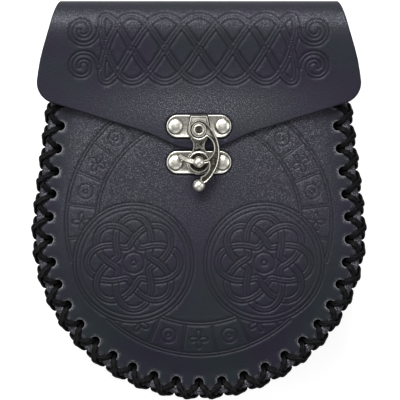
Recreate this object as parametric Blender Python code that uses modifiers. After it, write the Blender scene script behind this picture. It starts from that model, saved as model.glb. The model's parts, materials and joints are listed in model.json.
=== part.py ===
"""Laced leather waist bag with a folded flap, two belt loops and a swinging clasp, lying on its back.

X is across the bag, Y runs from its round bottom up to the folded top, and Z points out of its front.
While the pieces are made, the origin is the centre of the round bottom, at the height of the ground.
The last step moves the whole bag so that the origin is at the middle of its bounding box's lowest face.
"""

from math import atan2, cos, pi, radians, sin, tan

import bmesh
import bpy
from mathutils import Matrix, Vector

MM = 0.001

# Fits between pieces
GAP = 0.3 * MM
RUNNING_CLEARANCE = 0.35 * MM
ROUNDING_STEP = radians(22.5)
# Most of an edge's length that the roundings at its two ends may take
ROUNDED_SHARE = 0.98
# How far a cutting rod stands out of the leather it cuts
CUTTER_REACH = 6.6 * MM

# Leather body
LEATHER = 2.2 * MM
EDGE_RADIUS = 81.6 * MM
EDGE_STEPS = 18
SIDE_LEAN = radians(7.0)
BAG_TOP = 115.9 * MM
MOUTH_DROP = 11.9 * MM
GUSSET_WIDTH = 36.0 * MM

# Crown of the front panel: it rises in rings from the laced edge to a flat middle.
CROWN_HEIGHT = 3.6 * MM
CROWN_INSET = 32.0 * MM
# Each ring: share of the inset, share of the height.
CROWN_RINGS = (
    (0.30, 0.12),
    (0.62, 0.72),
    (1.00, 1.00),
)

# Fold over the top of the bag, as radii of the leather's outer face
BACK_BEND_RADIUS = 9.0 * MM
FRONT_BEND_RADIUS = 14.0 * MM
BACK_BEND_STEPS = 3
FRONT_BEND_STEPS = 5

# Flap
FLAP_WIDTH = 164.0 * MM
FLAP_LENGTH = 74.8 * MM
# Each corner: share of the half width, share of the length below the bag's top,
# and rounding radius as a share of the half width.
FLAP_CORNERS = (
    (0.970, 0.398, 0.98),
    (1.000, 0.652, 0.13),
    (0.305, 0.890, 0.73),
    (0.000, 1.056, 0.44),
)
FLARE_RADIUS = 60.0 * MM

# Lacing
STITCHES = 38
CORD_RADIUS = 1.1 * MM
CORD_BEVEL_RESOLUTION = 1
HOLE_CLEARANCE = 0.2 * MM
HOLE_MARGIN = 1.4 * MM
HOLE_SIDES = 6
MOUTH_MARGIN = 5.5 * MM

# Belt loops
BELT_GAP = 6.0 * MM
LOOP_WIDTH = 28.0 * MM
LOOP_SPACING = 86.0 * MM
LOOP_CENTRE_Y = 24.0 * MM
LOOP_RUN = 52.0 * MM
LOOP_BEND = 10.0 * MM
LOOP_TAB = 13.0 * MM
LOOP_BEND_STEPS = 3

# Rivets
RIVET_HEAD_RADIUS = 3.5 * MM
RIVET_HEAD_HEIGHT = 1.2 * MM
RIVET_SHANK_RADIUS = 1.3 * MM
RIVET_TAIL_RADIUS = 2.5 * MM
RIVET_TAIL_HEIGHT = 0.8 * MM
RIVET_SIDES = 8
RIVET_DOME_STEPS = 2

# Clasp plates
PLATE_THICKNESS = 1.2 * MM
PLATE_LENGTH = 32.2 * MM
PLATE_WIDTH = 11.3 * MM
PLATE_CORNER_RADIUS = 5.4 * MM
PLATE_RIVET_SPACING = 23.4 * MM

# Clasp tongue, with its shield, neck and ring, which hangs from the upper plate
PIVOT_ABOVE_TIP = 9.8 * MM
PLATE_ABOVE_PIVOT = 1.9 * MM
SHIELD_TOP_WIDTH = 8.8 * MM
SHIELD_SHOULDER = radians(12.0)
SHIELD_THICKNESS = 2.8 * MM
NECK_WIDTH = 5.6 * MM
TONGUE_THICKNESS = 1.9 * MM
RING_CLEARANCE = 1.1 * MM
RING_BAND = 1.9 * MM
RING_SIDES = 16
SHIELD_DISC_STEPS = 10
SHIELD_SIDE_STEPS = 3
NECK_STEPS = 4

# Clasp post, whose eye takes the hook's tine
BOSS_MARGIN = 0.4 * MM
POST_RADIUS = 2.4 * MM
POST_HEAD_RADIUS = 2.8 * MM
POST_HEAD_LIFT = 0.5 * MM
POST_SIDES = 12
POST_HEAD_STEPS = 4

# Clasp hook
HOOK_THICKNESS = 2.0 * MM
HOOK_EYE_RADIUS = 5.1 * MM
HOOK_REACH = 10.4 * MM
HOOK_BACK_DROP = 11.3 * MM
HOOK_HEEL = radians(-49.0)
KNOB_RADIUS = 3.15 * MM
KNOB_DROP = 27.7 * MM
KNOB_RINGS = 6
TINE_RADIUS = 16.1 * MM
TINE_WIDTH = 2.2 * MM
TINE_END = radians(-128.0)
TINE_CLEARANCE = 0.4 * MM
# Round cut-outs above and below the tine: centre's x and y from the pivot, and radius,
# as shares of the tine's radius.
HOOK_WINDOW = (0.068, -0.559, 0.388)
HOOK_LOBE = (-0.056, -1.100, 0.360)
HOOK_LOBE_END = radians(-72.0)
HOOK_EYE_STEPS = 11
HOOK_WINDOW_STEPS = 5
TINE_STEPS = 5
HOOK_LOBE_STEPS = 4
HOOK_BACK_STEPS = 8

# Clasp pivot, a hollow rivet
PIVOT_RADIUS = 1.6 * MM
PIVOT_HEAD_RADIUS = 2.8 * MM
PIVOT_HEAD_HEIGHT = 0.9 * MM
PIVOT_BORE_RADIUS = 1.0 * MM
PIVOT_BORE_DEPTH = 1.4 * MM
PIVOT_TAIL_RADIUS = 2.4 * MM
PIVOT_TAIL_HEIGHT = 0.6 * MM

# Levels, from the ground up
BACK_OUTER = LEATHER + BELT_GAP
BACK_INNER = BACK_OUTER + LEATHER
GUSSET_LOW = BACK_INNER + GAP
GUSSET_HIGH = GUSSET_LOW + GUSSET_WIDTH
FRONT_EDGE = GUSSET_HIGH + GAP + LEATHER
FRONT_FACE = FRONT_EDGE + CROWN_HEIGHT
FLAP_INNER = FRONT_FACE + GAP
FLAP_OUTER = FLAP_INNER + LEATHER
LOWER_PLATE_BASE = FRONT_FACE + GAP
LOWER_PLATE_FACE = LOWER_PLATE_BASE + PLATE_THICKNESS
UPPER_PLATE_BASE = FLAP_OUTER + GAP
UPPER_PLATE_FACE = UPPER_PLATE_BASE + PLATE_THICKNESS
SHIELD_FACE = UPPER_PLATE_BASE + SHIELD_THICKNESS
HOOK_BASE = SHIELD_FACE + RUNNING_CLEARANCE
HOOK_FACE = HOOK_BASE + HOOK_THICKNESS
POST_EYE_LOW = HOOK_BASE - TINE_CLEARANCE
POST_EYE_HIGH = HOOK_FACE + TINE_CLEARANCE

# Places that follow from the sizes
HOLE_RADIUS = 2 * CORD_RADIUS + HOLE_CLEARANCE
HOLE_INSET = LEATHER + GAP + HOLE_MARGIN + HOLE_RADIUS
BODY_TOP = BAG_TOP - MOUTH_DROP
ROW_RADIUS = EDGE_RADIUS - HOLE_INSET
ROW_ARC = ROW_RADIUS * (pi / 2 + SIDE_LEAN)
ROW_END = ROW_ARC + (BODY_TOP - MOUTH_MARGIN - ROW_RADIUS * sin(SIDE_LEAN)) / cos(SIDE_LEAN)
PITCH = 2 * ROW_END / STITCHES
CREST_REACH = CORD_RADIUS + GAP
PIVOT_Y = BAG_TOP - FLAP_LENGTH + PIVOT_ABOVE_TIP
UPPER_PLATE_Y = PIVOT_Y + PLATE_ABOVE_PIVOT
POST_Y = PIVOT_Y - TINE_RADIUS
RING_INNER_RADIUS = POST_HEAD_RADIUS + RING_CLEARANCE
RING_OUTER_RADIUS = RING_INNER_RADIUS + RING_BAND
SHIELD_RADIUS = RING_OUTER_RADIUS
BACK_BEND_START = BAG_TOP - BACK_BEND_RADIUS
BACK_BEND_END = BACK_BEND_START + (BACK_BEND_RADIUS - LEATHER / 2) * pi / 2
FRONT_BEND_START = BACK_BEND_END + FLAP_OUTER - FRONT_BEND_RADIUS - BACK_OUTER - BACK_BEND_RADIUS
FRONT_BEND_END = FRONT_BEND_START + (FRONT_BEND_RADIUS - LEATHER / 2) * pi / 2


def clear_scene():
    for obj in list(bpy.data.objects):
        bpy.data.objects.remove(obj, do_unlink=True)


def new_collection(name):
    collection = bpy.data.collections.new(name)
    bpy.context.scene.collection.children.link(collection)
    return collection


def new_material(name, colour, roughness, metallic=0.0):
    material = bpy.data.materials.new(name)
    material.use_nodes = True
    material.diffuse_color = (*colour, 1.0)
    shader = material.node_tree.nodes["Principled BSDF"]
    shader.inputs["Base Color"].default_value = (*colour, 1.0)
    shader.inputs["Roughness"].default_value = roughness
    shader.inputs["Metallic"].default_value = metallic
    return material


clear_scene()
pieces = new_collection("waist_bag")
cutters = new_collection("cutters")
bag = bpy.data.objects.new("bag", None)
pieces.objects.link(bag)

blue_black_leather = new_material("blue_black_leather", (0.036, 0.039, 0.050), 0.55)
black_cord = new_material("black_cord", (0.006, 0.006, 0.007), 0.60)
antique_silver = new_material("antique_silver", (0.52, 0.50, 0.46), 0.35, metallic=1.0)
dark_nickel = new_material("dark_nickel", (0.20, 0.20, 0.21), 0.40, metallic=1.0)


def add_piece(name, data, material):
    """Put a mesh or a curve in the bag as a piece of its own."""
    obj = bpy.data.objects.new(name, data)
    data.materials.append(material)
    pieces.objects.link(obj)
    obj.parent = bag
    return obj


def add_helper(name, mesh):
    """Put a mesh in the bag that only cuts or joins, and isn't a piece itself."""
    obj = bpy.data.objects.new(name, mesh)
    obj.display_type = "WIRE"
    obj.hide_render = True
    cutters.objects.link(obj)
    obj.parent = bag
    return obj


def to_mesh(name, bm, closed=True):
    if closed:
        bmesh.ops.recalc_face_normals(bm, faces=bm.faces)
    mesh = bpy.data.meshes.new(name)
    bm.to_mesh(mesh)
    bm.free()
    return mesh


def boolean(piece, helper, operation):
    modifier = piece.modifiers.new(helper.name, "BOOLEAN")
    modifier.operation = operation
    modifier.object = helper
    modifier.solver = "EXACT"


def give_thickness(piece, thickness, offset):
    """Solidify: an offset of -1 grows behind the faces, and 0 grows equally to both sides."""
    modifier = piece.modifiers.new("leather", "SOLIDIFY")
    modifier.thickness = thickness
    modifier.offset = offset
    modifier.use_even_offset = True


def arc(centre, radius, start, end, steps):
    """Points on an arc from one angle to another, both ends included."""
    angles = [start + (end - start) * step / steps for step in range(steps + 1)]
    return [Vector((centre[0] + radius * cos(a), centre[1] + radius * sin(a))) for a in angles]


def rounded(corners):
    """Points of a closed outline from its corners, each given as x, y and rounding radius.

    Where the roundings at the two ends of an edge need more than the edge has, both are made smaller.
    """
    places = [Vector(corner[:2]) for corner in corners]
    edges = [places[(index + 1) % len(places)] - place for index, place in enumerate(places)]
    turns = []
    for index, edge in enumerate(edges):
        turns.append(atan2(edges[index - 1].cross(edge), edges[index - 1].dot(edge)))
    reaches = [corner[2] * abs(tan(turn / 2)) for corner, turn in zip(corners, turns)]
    fits = []
    for index, edge in enumerate(edges):
        needed = reaches[index] + reaches[(index + 1) % len(reaches)]
        fits.append(min(1, ROUNDED_SHARE * edge.length / needed) if needed > 0 else 1)
    points = []
    for index, (place, turn) in enumerate(zip(places, turns)):
        radius = corners[index][2] * min(fits[index - 1], fits[index])
        if radius == 0:
            points.append(place)
            continue
        before = edges[index - 1].normalized()
        start = place - before * radius * abs(tan(turn / 2))
        inward = Vector((-before.y, before.x)) * (1 if turn > 0 else -1)
        centre = start + inward * radius
        steps = max(2, round(abs(turn) / ROUNDING_STEP))
        for step in range(steps + 1):
            points.append(centre + Matrix.Rotation(turn * step / steps, 2) @ (start - centre))
    return points


def circles_meet(centre, radius, other_centre, other_radius):
    """The point with the larger x where two circles cross."""
    between = other_centre - centre
    along = (radius**2 - other_radius**2 + between.length_squared) / (2 * between.length)
    aside = (radius**2 - along**2) ** 0.5
    direction = between.normalized()
    sideways = Vector((-direction.y, direction.x)) * aside
    foot = centre + direction * along
    return max(foot + sideways, foot - sideways, key=lambda point: point.x)


def side_half_width(y):
    """Half the body's width where its straight, leaning sides are y above the round bottom's centre."""
    return (EDGE_RADIUS - y * sin(SIDE_LEAN)) / cos(SIDE_LEAN)


def round_bottom():
    """The laced edge's arc, from the left side through the lowest point to the right side."""
    return arc((0, 0), EDGE_RADIUS, -pi - SIDE_LEAN, SIDE_LEAN, EDGE_STEPS)


def edge_point(distance, inset):
    """A point at this inset from the laced edge, and the direction out of the bag there.

    The distance is measured along the hole row from its lowest point, and is negative on the left.
    """
    if abs(distance) <= ROW_ARC:
        angle = abs(distance) / ROW_RADIUS - pi / 2
        outward = Vector((cos(angle), sin(angle), 0))
        point = outward * (EDGE_RADIUS - inset)
    else:
        outward = Vector((cos(SIDE_LEAN), sin(SIDE_LEAN), 0))
        upward = Vector((-sin(SIDE_LEAN), cos(SIDE_LEAN), 0))
        point = outward * (EDGE_RADIUS - inset) + upward * (abs(distance) - ROW_ARC)
    if distance < 0:
        point.x = -point.x
        outward.x = -outward.x
    return point, outward


def stations():
    """Distances of the lacing holes along their row."""
    return [(index - STITCHES / 2) * PITCH for index in range(STITCHES + 1)]


def crown_height(inset):
    """How far the front panel's crown has risen at this inset from its edge."""
    low_inset, low_height = 0.0, 0.0
    for inset_share, height_share in CROWN_RINGS:
        ring_inset, ring_height = inset_share * CROWN_INSET, height_share * CROWN_HEIGHT
        if inset <= ring_inset:
            share = (inset - low_inset) / (ring_inset - low_inset)
            return low_height + (ring_height - low_height) * share
        low_inset, low_height = ring_inset, ring_height
    return CROWN_HEIGHT


def fold_point(distance):
    """Height along Y and Z of the leather's middle, at a distance along the back panel and over the fold."""
    back_turn = BACK_BEND_RADIUS - LEATHER / 2
    front_turn = FRONT_BEND_RADIUS - LEATHER / 2
    if distance <= BACK_BEND_START:
        return distance, BACK_OUTER + LEATHER / 2
    if distance <= BACK_BEND_END:
        angle = (distance - BACK_BEND_START) / back_turn
        return (
            BAG_TOP - BACK_BEND_RADIUS + back_turn * sin(angle),
            BACK_OUTER + BACK_BEND_RADIUS - back_turn * cos(angle),
        )
    if distance <= FRONT_BEND_START:
        return BAG_TOP - LEATHER / 2, BACK_OUTER + BACK_BEND_RADIUS + distance - BACK_BEND_END
    if distance <= FRONT_BEND_END:
        angle = (distance - FRONT_BEND_START) / front_turn
        return (
            BAG_TOP - FRONT_BEND_RADIUS + front_turn * cos(angle),
            FLAP_OUTER - FRONT_BEND_RADIUS + front_turn * sin(angle),
        )
    return BAG_TOP - FRONT_BEND_RADIUS - (distance - FRONT_BEND_END), FLAP_OUTER - LEATHER / 2


def flat_distance(y):
    """Distance along the leather of a point of the flap that lies y above the round bottom's centre."""
    return FRONT_BEND_END + BAG_TOP - FRONT_BEND_RADIUS - y


def add_slab(bm, outline, low, high):
    """A flat piece with this outline between two levels."""
    face = bm.faces.new([bm.verts.new((point[0], point[1], low)) for point in outline])
    grown = bmesh.ops.extrude_face_region(bm, geom=[face])["geom"]
    top = [item for item in grown if isinstance(item, bmesh.types.BMVert)]
    bmesh.ops.translate(bm, verts=top, vec=(0, 0, high - low))


def add_rod(bm, middle, direction, radius, length, sides):
    turn = direction.to_track_quat("Z", "Y").to_matrix().to_4x4()
    bmesh.ops.create_cone(
        bm,
        cap_ends=True,
        segments=sides,
        radius1=radius,
        radius2=radius,
        depth=length,
        matrix=Matrix.Translation(middle) @ turn,
    )


def add_bore(bm, x, y, low, high, radius, sides=RIVET_SIDES):
    """An upright cutting rod between two levels."""
    add_rod(bm, Vector((x, y, (low + high) / 2)), Vector((0, 0, 1)), radius, high - low, sides)


def profile_mesh(mesh_name, profile):
    """A profile to be turned, given as radius and height from the top down its outer side."""
    bm = bmesh.new()
    points = [bm.verts.new((radius, 0, height)) for radius, height in profile]
    for start, end in zip(points, points[1:]):
        bm.edges.new((start, end))
    return to_mesh(mesh_name, bm, closed=False)


def turn_around(obj, sides):
    modifier = obj.modifiers.new("turned", "SCREW")
    modifier.steps = sides
    modifier.render_steps = sides
    modifier.use_merge_vertices = True
    modifier.merge_threshold = 0.01 * MM
    modifier.use_smooth_shade = False


def rivet_mesh(name, grip):
    """A rivet with a domed head above its seat at height 0 and a flat tail, this grip below it."""
    dome = [
        (RIVET_HEAD_RADIUS * sin(angle), RIVET_HEAD_HEIGHT * cos(angle))
        for angle in (pi / 2 * step / RIVET_DOME_STEPS for step in range(RIVET_DOME_STEPS + 1))
    ]
    stem = [
        (RIVET_SHANK_RADIUS, 0),
        (RIVET_SHANK_RADIUS, RIVET_TAIL_HEIGHT - grip),
        (RIVET_TAIL_RADIUS, RIVET_TAIL_HEIGHT - grip),
        (RIVET_TAIL_RADIUS, -grip),
        (0, -grip),
    ]
    return profile_mesh(name, dome + stem)


# Lacing holes

def panel_holes(bm, level):
    """Cutting rods for a panel's hole row, through the leather at this level."""
    for distance in stations():
        point, _ = edge_point(distance, HOLE_INSET)
        low, high = level - CUTTER_REACH, level + CUTTER_REACH
        add_bore(bm, point.x, point.y, low, high, HOLE_RADIUS, HOLE_SIDES)


def gusset_holes(bm):
    """Cutting rods for the hole rows along both edges of the gusset."""
    for distance in stations():
        point, outward = edge_point(distance, LEATHER / 2)
        for level in (BACK_OUTER + HOLE_INSET, FRONT_EDGE - HOLE_INSET):
            middle = point + Vector((0, 0, level))
            add_rod(bm, middle, outward, HOLE_RADIUS, 2 * CUTTER_REACH, HOLE_SIDES)


# Rivet places: x and y of the four clasp rivets and of the four belt loop rivets

def plate_rivet_places(y):
    return [(side * PLATE_RIVET_SPACING / 2, y) for side in (-1, 1)]


def loop_rivet_places(side):
    reach = LOOP_RUN / 2 + LOOP_BEND + LOOP_TAB / 2
    return [(side * LOOP_SPACING / 2, LOOP_CENTRE_Y + end * reach) for end in (-1, 1)]


def add_rivet_bores(bm, places, low, high):
    for x, y in places:
        add_bore(bm, x, y, low, high, RIVET_SHANK_RADIUS + GAP)


def add_tail_seats(bm, places, face, inward):
    """Shallow seats that take the rivet tails flush with a leather face; inward points into the leather."""
    depth = RIVET_TAIL_HEIGHT + GAP
    low, high = sorted((face - inward * LEATHER, face + inward * depth))
    for x, y in places:
        add_bore(bm, x, y, low, high, RIVET_TAIL_RADIUS + GAP)


# Leather pieces

def make_front_panel():
    bm = bmesh.new()
    top_half_width = side_half_width(BODY_TOP)
    outline = round_bottom() + [Vector((top_half_width, BODY_TOP)), Vector((-top_half_width, BODY_TOP))]
    middle = bm.faces.new([bm.verts.new((x, y, FRONT_EDGE)) for x, y in outline])
    middle.normal_update()
    inset, height = 0.0, 0.0
    for inset_share, height_share in CROWN_RINGS:
        step = inset_share * CROWN_INSET - inset
        bmesh.ops.inset_region(bm, faces=[middle], thickness=step, use_boundary=True, use_even_offset=True)
        rise = height_share * CROWN_HEIGHT - height
        bmesh.ops.translate(bm, verts=middle.verts, vec=(0, 0, rise))
        inset, height = inset + step, height + rise
    panel = add_piece("front_panel", to_mesh("front_panel", bm, closed=False), blue_black_leather)
    give_thickness(panel, LEATHER, offset=-1)

    holes = bmesh.new()
    panel_holes(holes, FRONT_EDGE)
    low, high = FRONT_FACE - CUTTER_REACH, FRONT_FACE + CUTTER_REACH
    add_rivet_bores(holes, plate_rivet_places(POST_Y), low, high)
    boolean(panel, add_helper("front_panel_holes", to_mesh("front_panel_holes", holes)), "DIFFERENCE")
    seats = bmesh.new()
    add_tail_seats(seats, plate_rivet_places(POST_Y), FRONT_FACE - LEATHER, inward=1)
    boolean(panel, add_helper("front_panel_seats", to_mesh("front_panel_seats", seats)), "DIFFERENCE")


def back_and_flap_outline():
    """The flat leather: across it, and along it from the round bottom over the fold to the flap's tip."""
    fold_half_width = side_half_width(BACK_BEND_START)
    right = [
        (fold_half_width, BACK_BEND_START, 0),
        (fold_half_width, FRONT_BEND_START, FLARE_RADIUS),
    ]
    for width_share, length_share, radius_share in FLAP_CORNERS:
        x = width_share * FLAP_WIDTH / 2
        distance = flat_distance(BAG_TOP - length_share * FLAP_LENGTH)
        right.append((x, distance, radius_share * FLAP_WIDTH / 2))
    tip = right.pop()
    left = [(-x, distance, radius) for x, distance, radius in reversed(right)]
    bottom = [(point.x, point.y, 0) for point in round_bottom()]
    return rounded(bottom + right + [tip] + left)


def bend_rows():
    """Distances along the leather at which it gets an edge, so that it can bend."""
    rows = []
    for start, end, steps in (
        (BACK_BEND_START, BACK_BEND_END, BACK_BEND_STEPS),
        (FRONT_BEND_START, FRONT_BEND_END, FRONT_BEND_STEPS),
    ):
        rows += [start + (end - start) * step / steps for step in range(steps + 1)]
    return rows


def make_back_and_flap():
    bm = bmesh.new()
    bm.faces.new([bm.verts.new((x, distance, 0)) for x, distance in back_and_flap_outline()])
    for row in bend_rows():
        geometry = bm.verts[:] + bm.edges[:] + bm.faces[:]
        bmesh.ops.bisect_plane(bm, geom=geometry, plane_co=(0, row, 0), plane_no=(0, 1, 0))
    for vert in bm.verts:
        vert.co.y, vert.co.z = fold_point(vert.co.y)
    leather = add_piece("back_and_flap", to_mesh("back_and_flap", bm, closed=False), blue_black_leather)
    give_thickness(leather, LEATHER, offset=0)

    loop_places = loop_rivet_places(-1) + loop_rivet_places(1)
    clasp_places = plate_rivet_places(UPPER_PLATE_Y)
    holes = bmesh.new()
    panel_holes(holes, BACK_OUTER + LEATHER / 2)
    add_rivet_bores(holes, loop_places, BACK_OUTER - LEATHER, BACK_INNER + LEATHER)
    add_rivet_bores(holes, clasp_places, FLAP_INNER - LEATHER, FLAP_OUTER + LEATHER)
    boolean(leather, add_helper("back_and_flap_holes", to_mesh("back_and_flap_holes", holes)), "DIFFERENCE")
    seats = bmesh.new()
    add_tail_seats(seats, loop_places, BACK_INNER, inward=-1)
    add_tail_seats(seats, clasp_places, FLAP_INNER, inward=1)
    boolean(leather, add_helper("back_and_flap_seats", to_mesh("back_and_flap_seats", seats)), "DIFFERENCE")


def make_gusset():
    """One strip round the sides and bottom, which bends halfway between the holes of the round part."""
    halfway = [(index + 0.5 - STITCHES / 2) * PITCH for index in range(STITCHES)]
    bends = [distance for distance in halfway if abs(distance) < ROW_ARC + PITCH]
    ends = ROW_END + MOUTH_MARGIN
    bm = bmesh.new()
    chain = []
    for distance in [-ends] + bends + [ends]:
        point, _ = edge_point(distance, 0)
        chain.append(bm.verts.new((point.x, point.y, GUSSET_LOW)))
    edges = [bm.edges.new(pair) for pair in zip(chain, chain[1:])]
    grown = bmesh.ops.extrude_edge_only(bm, edges=edges)["geom"]
    top = [item for item in grown if isinstance(item, bmesh.types.BMVert)]
    bmesh.ops.translate(bm, verts=top, vec=(0, 0, GUSSET_WIDTH))
    bm.normal_update()
    if any(face.normal.dot(face.calc_center_median().xy.to_3d()) < 0 for face in bm.faces):
        bmesh.ops.reverse_faces(bm, faces=bm.faces)
    gusset = add_piece("gusset", to_mesh("gusset", bm, closed=False), blue_black_leather)
    give_thickness(gusset, LEATHER, offset=-1)
    holes = bmesh.new()
    gusset_holes(holes)
    boolean(gusset, add_helper("gusset_holes", to_mesh("gusset_holes", holes)), "DIFFERENCE")


def lacing_route(edge, outward, rise):
    """The route of one cord that binds a panel to the gusset.

    From each hole in the panel the cord passes over the edge to the next hole in the gusset, and
    inside the corner back to the panel. The edge is the level of the panel's outer face there,
    outward is 1 on the front and -1 on the back, and rise is how far the face has risen at the holes.
    """
    def at(distance, inset, level):
        point, _ = edge_point(distance, inset)
        return Vector((point.x, point.y, edge + outward * level))

    places = stations()
    route = [at(places[0], HOLE_INSET, -HOLE_INSET)]
    for here, ahead in zip(places, places[1:]):
        route += [
            at(here, HOLE_INSET, rise + CREST_REACH),
            at((here + ahead) / 2, -CREST_REACH, CREST_REACH),
            at(ahead, -CREST_REACH, -HOLE_INSET),
            at(ahead, HOLE_INSET, -HOLE_INSET),
        ]
    return route


def make_lacing(name, edge, outward, rise):
    curve = bpy.data.curves.new(name, "CURVE")
    curve.dimensions = "3D"
    curve.bevel_depth = CORD_RADIUS
    curve.bevel_resolution = CORD_BEVEL_RESOLUTION
    curve.use_fill_caps = True
    route = lacing_route(edge, outward, rise)
    spline = curve.splines.new("POLY")
    spline.points.add(len(route) - 1)
    for point, place in zip(spline.points, route):
        point.co = (*place, 1)
    add_piece(name, curve, black_cord)


def loop_profile():
    """Y and Z of the belt loop's middle: tab, bend down, flat run, bend up, tab."""
    run_level = LEATHER / 2
    tab_level = BACK_OUTER - GAP - LEATHER / 2
    profile = []
    for end in (-1, 1):
        half = []
        for step in range(LOOP_BEND_STEPS + 1):
            share = step / LOOP_BEND_STEPS
            level = run_level + (tab_level - run_level) * (1 - cos(pi * share)) / 2
            half.append((LOOP_CENTRE_Y + end * (LOOP_RUN / 2 + LOOP_BEND * share), level))
        half.append((LOOP_CENTRE_Y + end * (LOOP_RUN / 2 + LOOP_BEND + LOOP_TAB), tab_level))
        profile += half[::-1] if end < 0 else half
    return profile


def make_belt_loop(name, side):
    bm = bmesh.new()
    low_x = side * LOOP_SPACING / 2 - LOOP_WIDTH / 2
    chain = [bm.verts.new((low_x, y, z)) for y, z in loop_profile()]
    edges = [bm.edges.new(pair) for pair in zip(chain, chain[1:])]
    grown = bmesh.ops.extrude_edge_only(bm, edges=edges)["geom"]
    far_side = [item for item in grown if isinstance(item, bmesh.types.BMVert)]
    bmesh.ops.translate(bm, verts=far_side, vec=(LOOP_WIDTH, 0, 0))
    loop = add_piece(name, to_mesh(name, bm, closed=False), blue_black_leather)
    give_thickness(loop, LEATHER, offset=0)
    holes = bmesh.new()
    add_rivet_bores(holes, loop_rivet_places(side), 0, BACK_OUTER)
    boolean(loop, add_helper(name + "_holes", to_mesh(name + "_holes", holes)), "DIFFERENCE")


# Clasp

def plate_outline(y):
    corners = [(-1, -1), (1, -1), (1, 1), (-1, 1)]
    return rounded(
        [
            (across * PLATE_LENGTH / 2, y + up * PLATE_WIDTH / 2, PLATE_CORNER_RADIUS)
            for across, up in corners
        ]
    )


def neck_corner():
    """Radius and centre of the hollow arc that joins the shield's disc to the ring, on the right side.

    The arc touches both discs, which are equally wide, and leaves the neck's width halfway.
    """
    half_width = NECK_WIDTH / 2
    half_way = (PIVOT_Y - POST_Y) / 2
    radius = (half_way**2 + half_width**2 - SHIELD_RADIUS**2) / (2 * (SHIELD_RADIUS - half_width))
    return radius, Vector((half_width + radius, POST_Y + half_way))


def tongue_outline():
    """Shield, neck and ring as one outline, from the shield's top right corner clockwise."""
    pivot, post = Vector((0, PIVOT_Y)), Vector((0, POST_Y))
    radius, centre = neck_corner()
    to_shield = atan2(pivot.y - centre.y, -centre.x)
    to_ring = atan2(post.y - centre.y, -centre.x) % (2 * pi)
    shield = arc(pivot, SHIELD_RADIUS, SHIELD_SHOULDER, to_shield - pi, SHIELD_SIDE_STEPS)
    neck = arc(centre, radius, to_shield, to_ring, NECK_STEPS)
    ring = arc(post, RING_OUTER_RADIUS, to_ring - pi, -pi / 2, RING_SIDES // 2)
    plate_top = UPPER_PLATE_Y + PLATE_WIDTH / 2
    right = [Vector((SHIELD_TOP_WIDTH / 2, plate_top))] + shield[:-1] + neck + ring[1:-1]
    left = [Vector((-point.x, point.y)) for point in reversed(right)]
    return right + [ring[-1]] + left


def shield_outline():
    """The raised shield's outline: the disc round the pivot, drawn up to the plate's top edge."""
    plate_top = UPPER_PLATE_Y + PLATE_WIDTH / 2
    start, end = pi - SHIELD_SHOULDER, 2 * pi + SHIELD_SHOULDER
    disc = arc((0, PIVOT_Y), SHIELD_RADIUS, start, end, SHIELD_DISC_STEPS)
    return [Vector((-SHIELD_TOP_WIDTH / 2, plate_top))] + disc + [Vector((SHIELD_TOP_WIDTH / 2, plate_top))]


def make_upper_plate():
    bm = bmesh.new()
    add_slab(bm, plate_outline(UPPER_PLATE_Y), UPPER_PLATE_BASE, UPPER_PLATE_FACE)
    plate = add_piece("clasp_upper_plate", to_mesh("clasp_upper_plate", bm), antique_silver)
    tongue = bmesh.new()
    add_slab(tongue, tongue_outline(), UPPER_PLATE_BASE, UPPER_PLATE_BASE + TONGUE_THICKNESS)
    boolean(plate, add_helper("tongue", to_mesh("tongue", tongue)), "UNION")
    shield = bmesh.new()
    add_slab(shield, shield_outline(), UPPER_PLATE_BASE, SHIELD_FACE)
    boolean(plate, add_helper("shield", to_mesh("shield", shield)), "UNION")

    low, high = UPPER_PLATE_BASE - PLATE_THICKNESS, SHIELD_FACE + PLATE_THICKNESS
    bores = bmesh.new()
    add_rivet_bores(bores, plate_rivet_places(UPPER_PLATE_Y), low, high)
    add_bore(bores, 0, PIVOT_Y, low, high, PIVOT_RADIUS + GAP, POST_SIDES)
    add_bore(bores, 0, POST_Y, low, high, RING_INNER_RADIUS, RING_SIDES)
    boolean(plate, add_helper("upper_plate_bores", to_mesh("upper_plate_bores", bores)), "DIFFERENCE")
    seat = bmesh.new()
    seat_top = UPPER_PLATE_BASE + PIVOT_TAIL_HEIGHT + GAP
    add_bore(seat, 0, PIVOT_Y, low, seat_top, PIVOT_TAIL_RADIUS + GAP, POST_SIDES)
    boolean(plate, add_helper("pivot_seat", to_mesh("pivot_seat", seat)), "DIFFERENCE")


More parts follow.
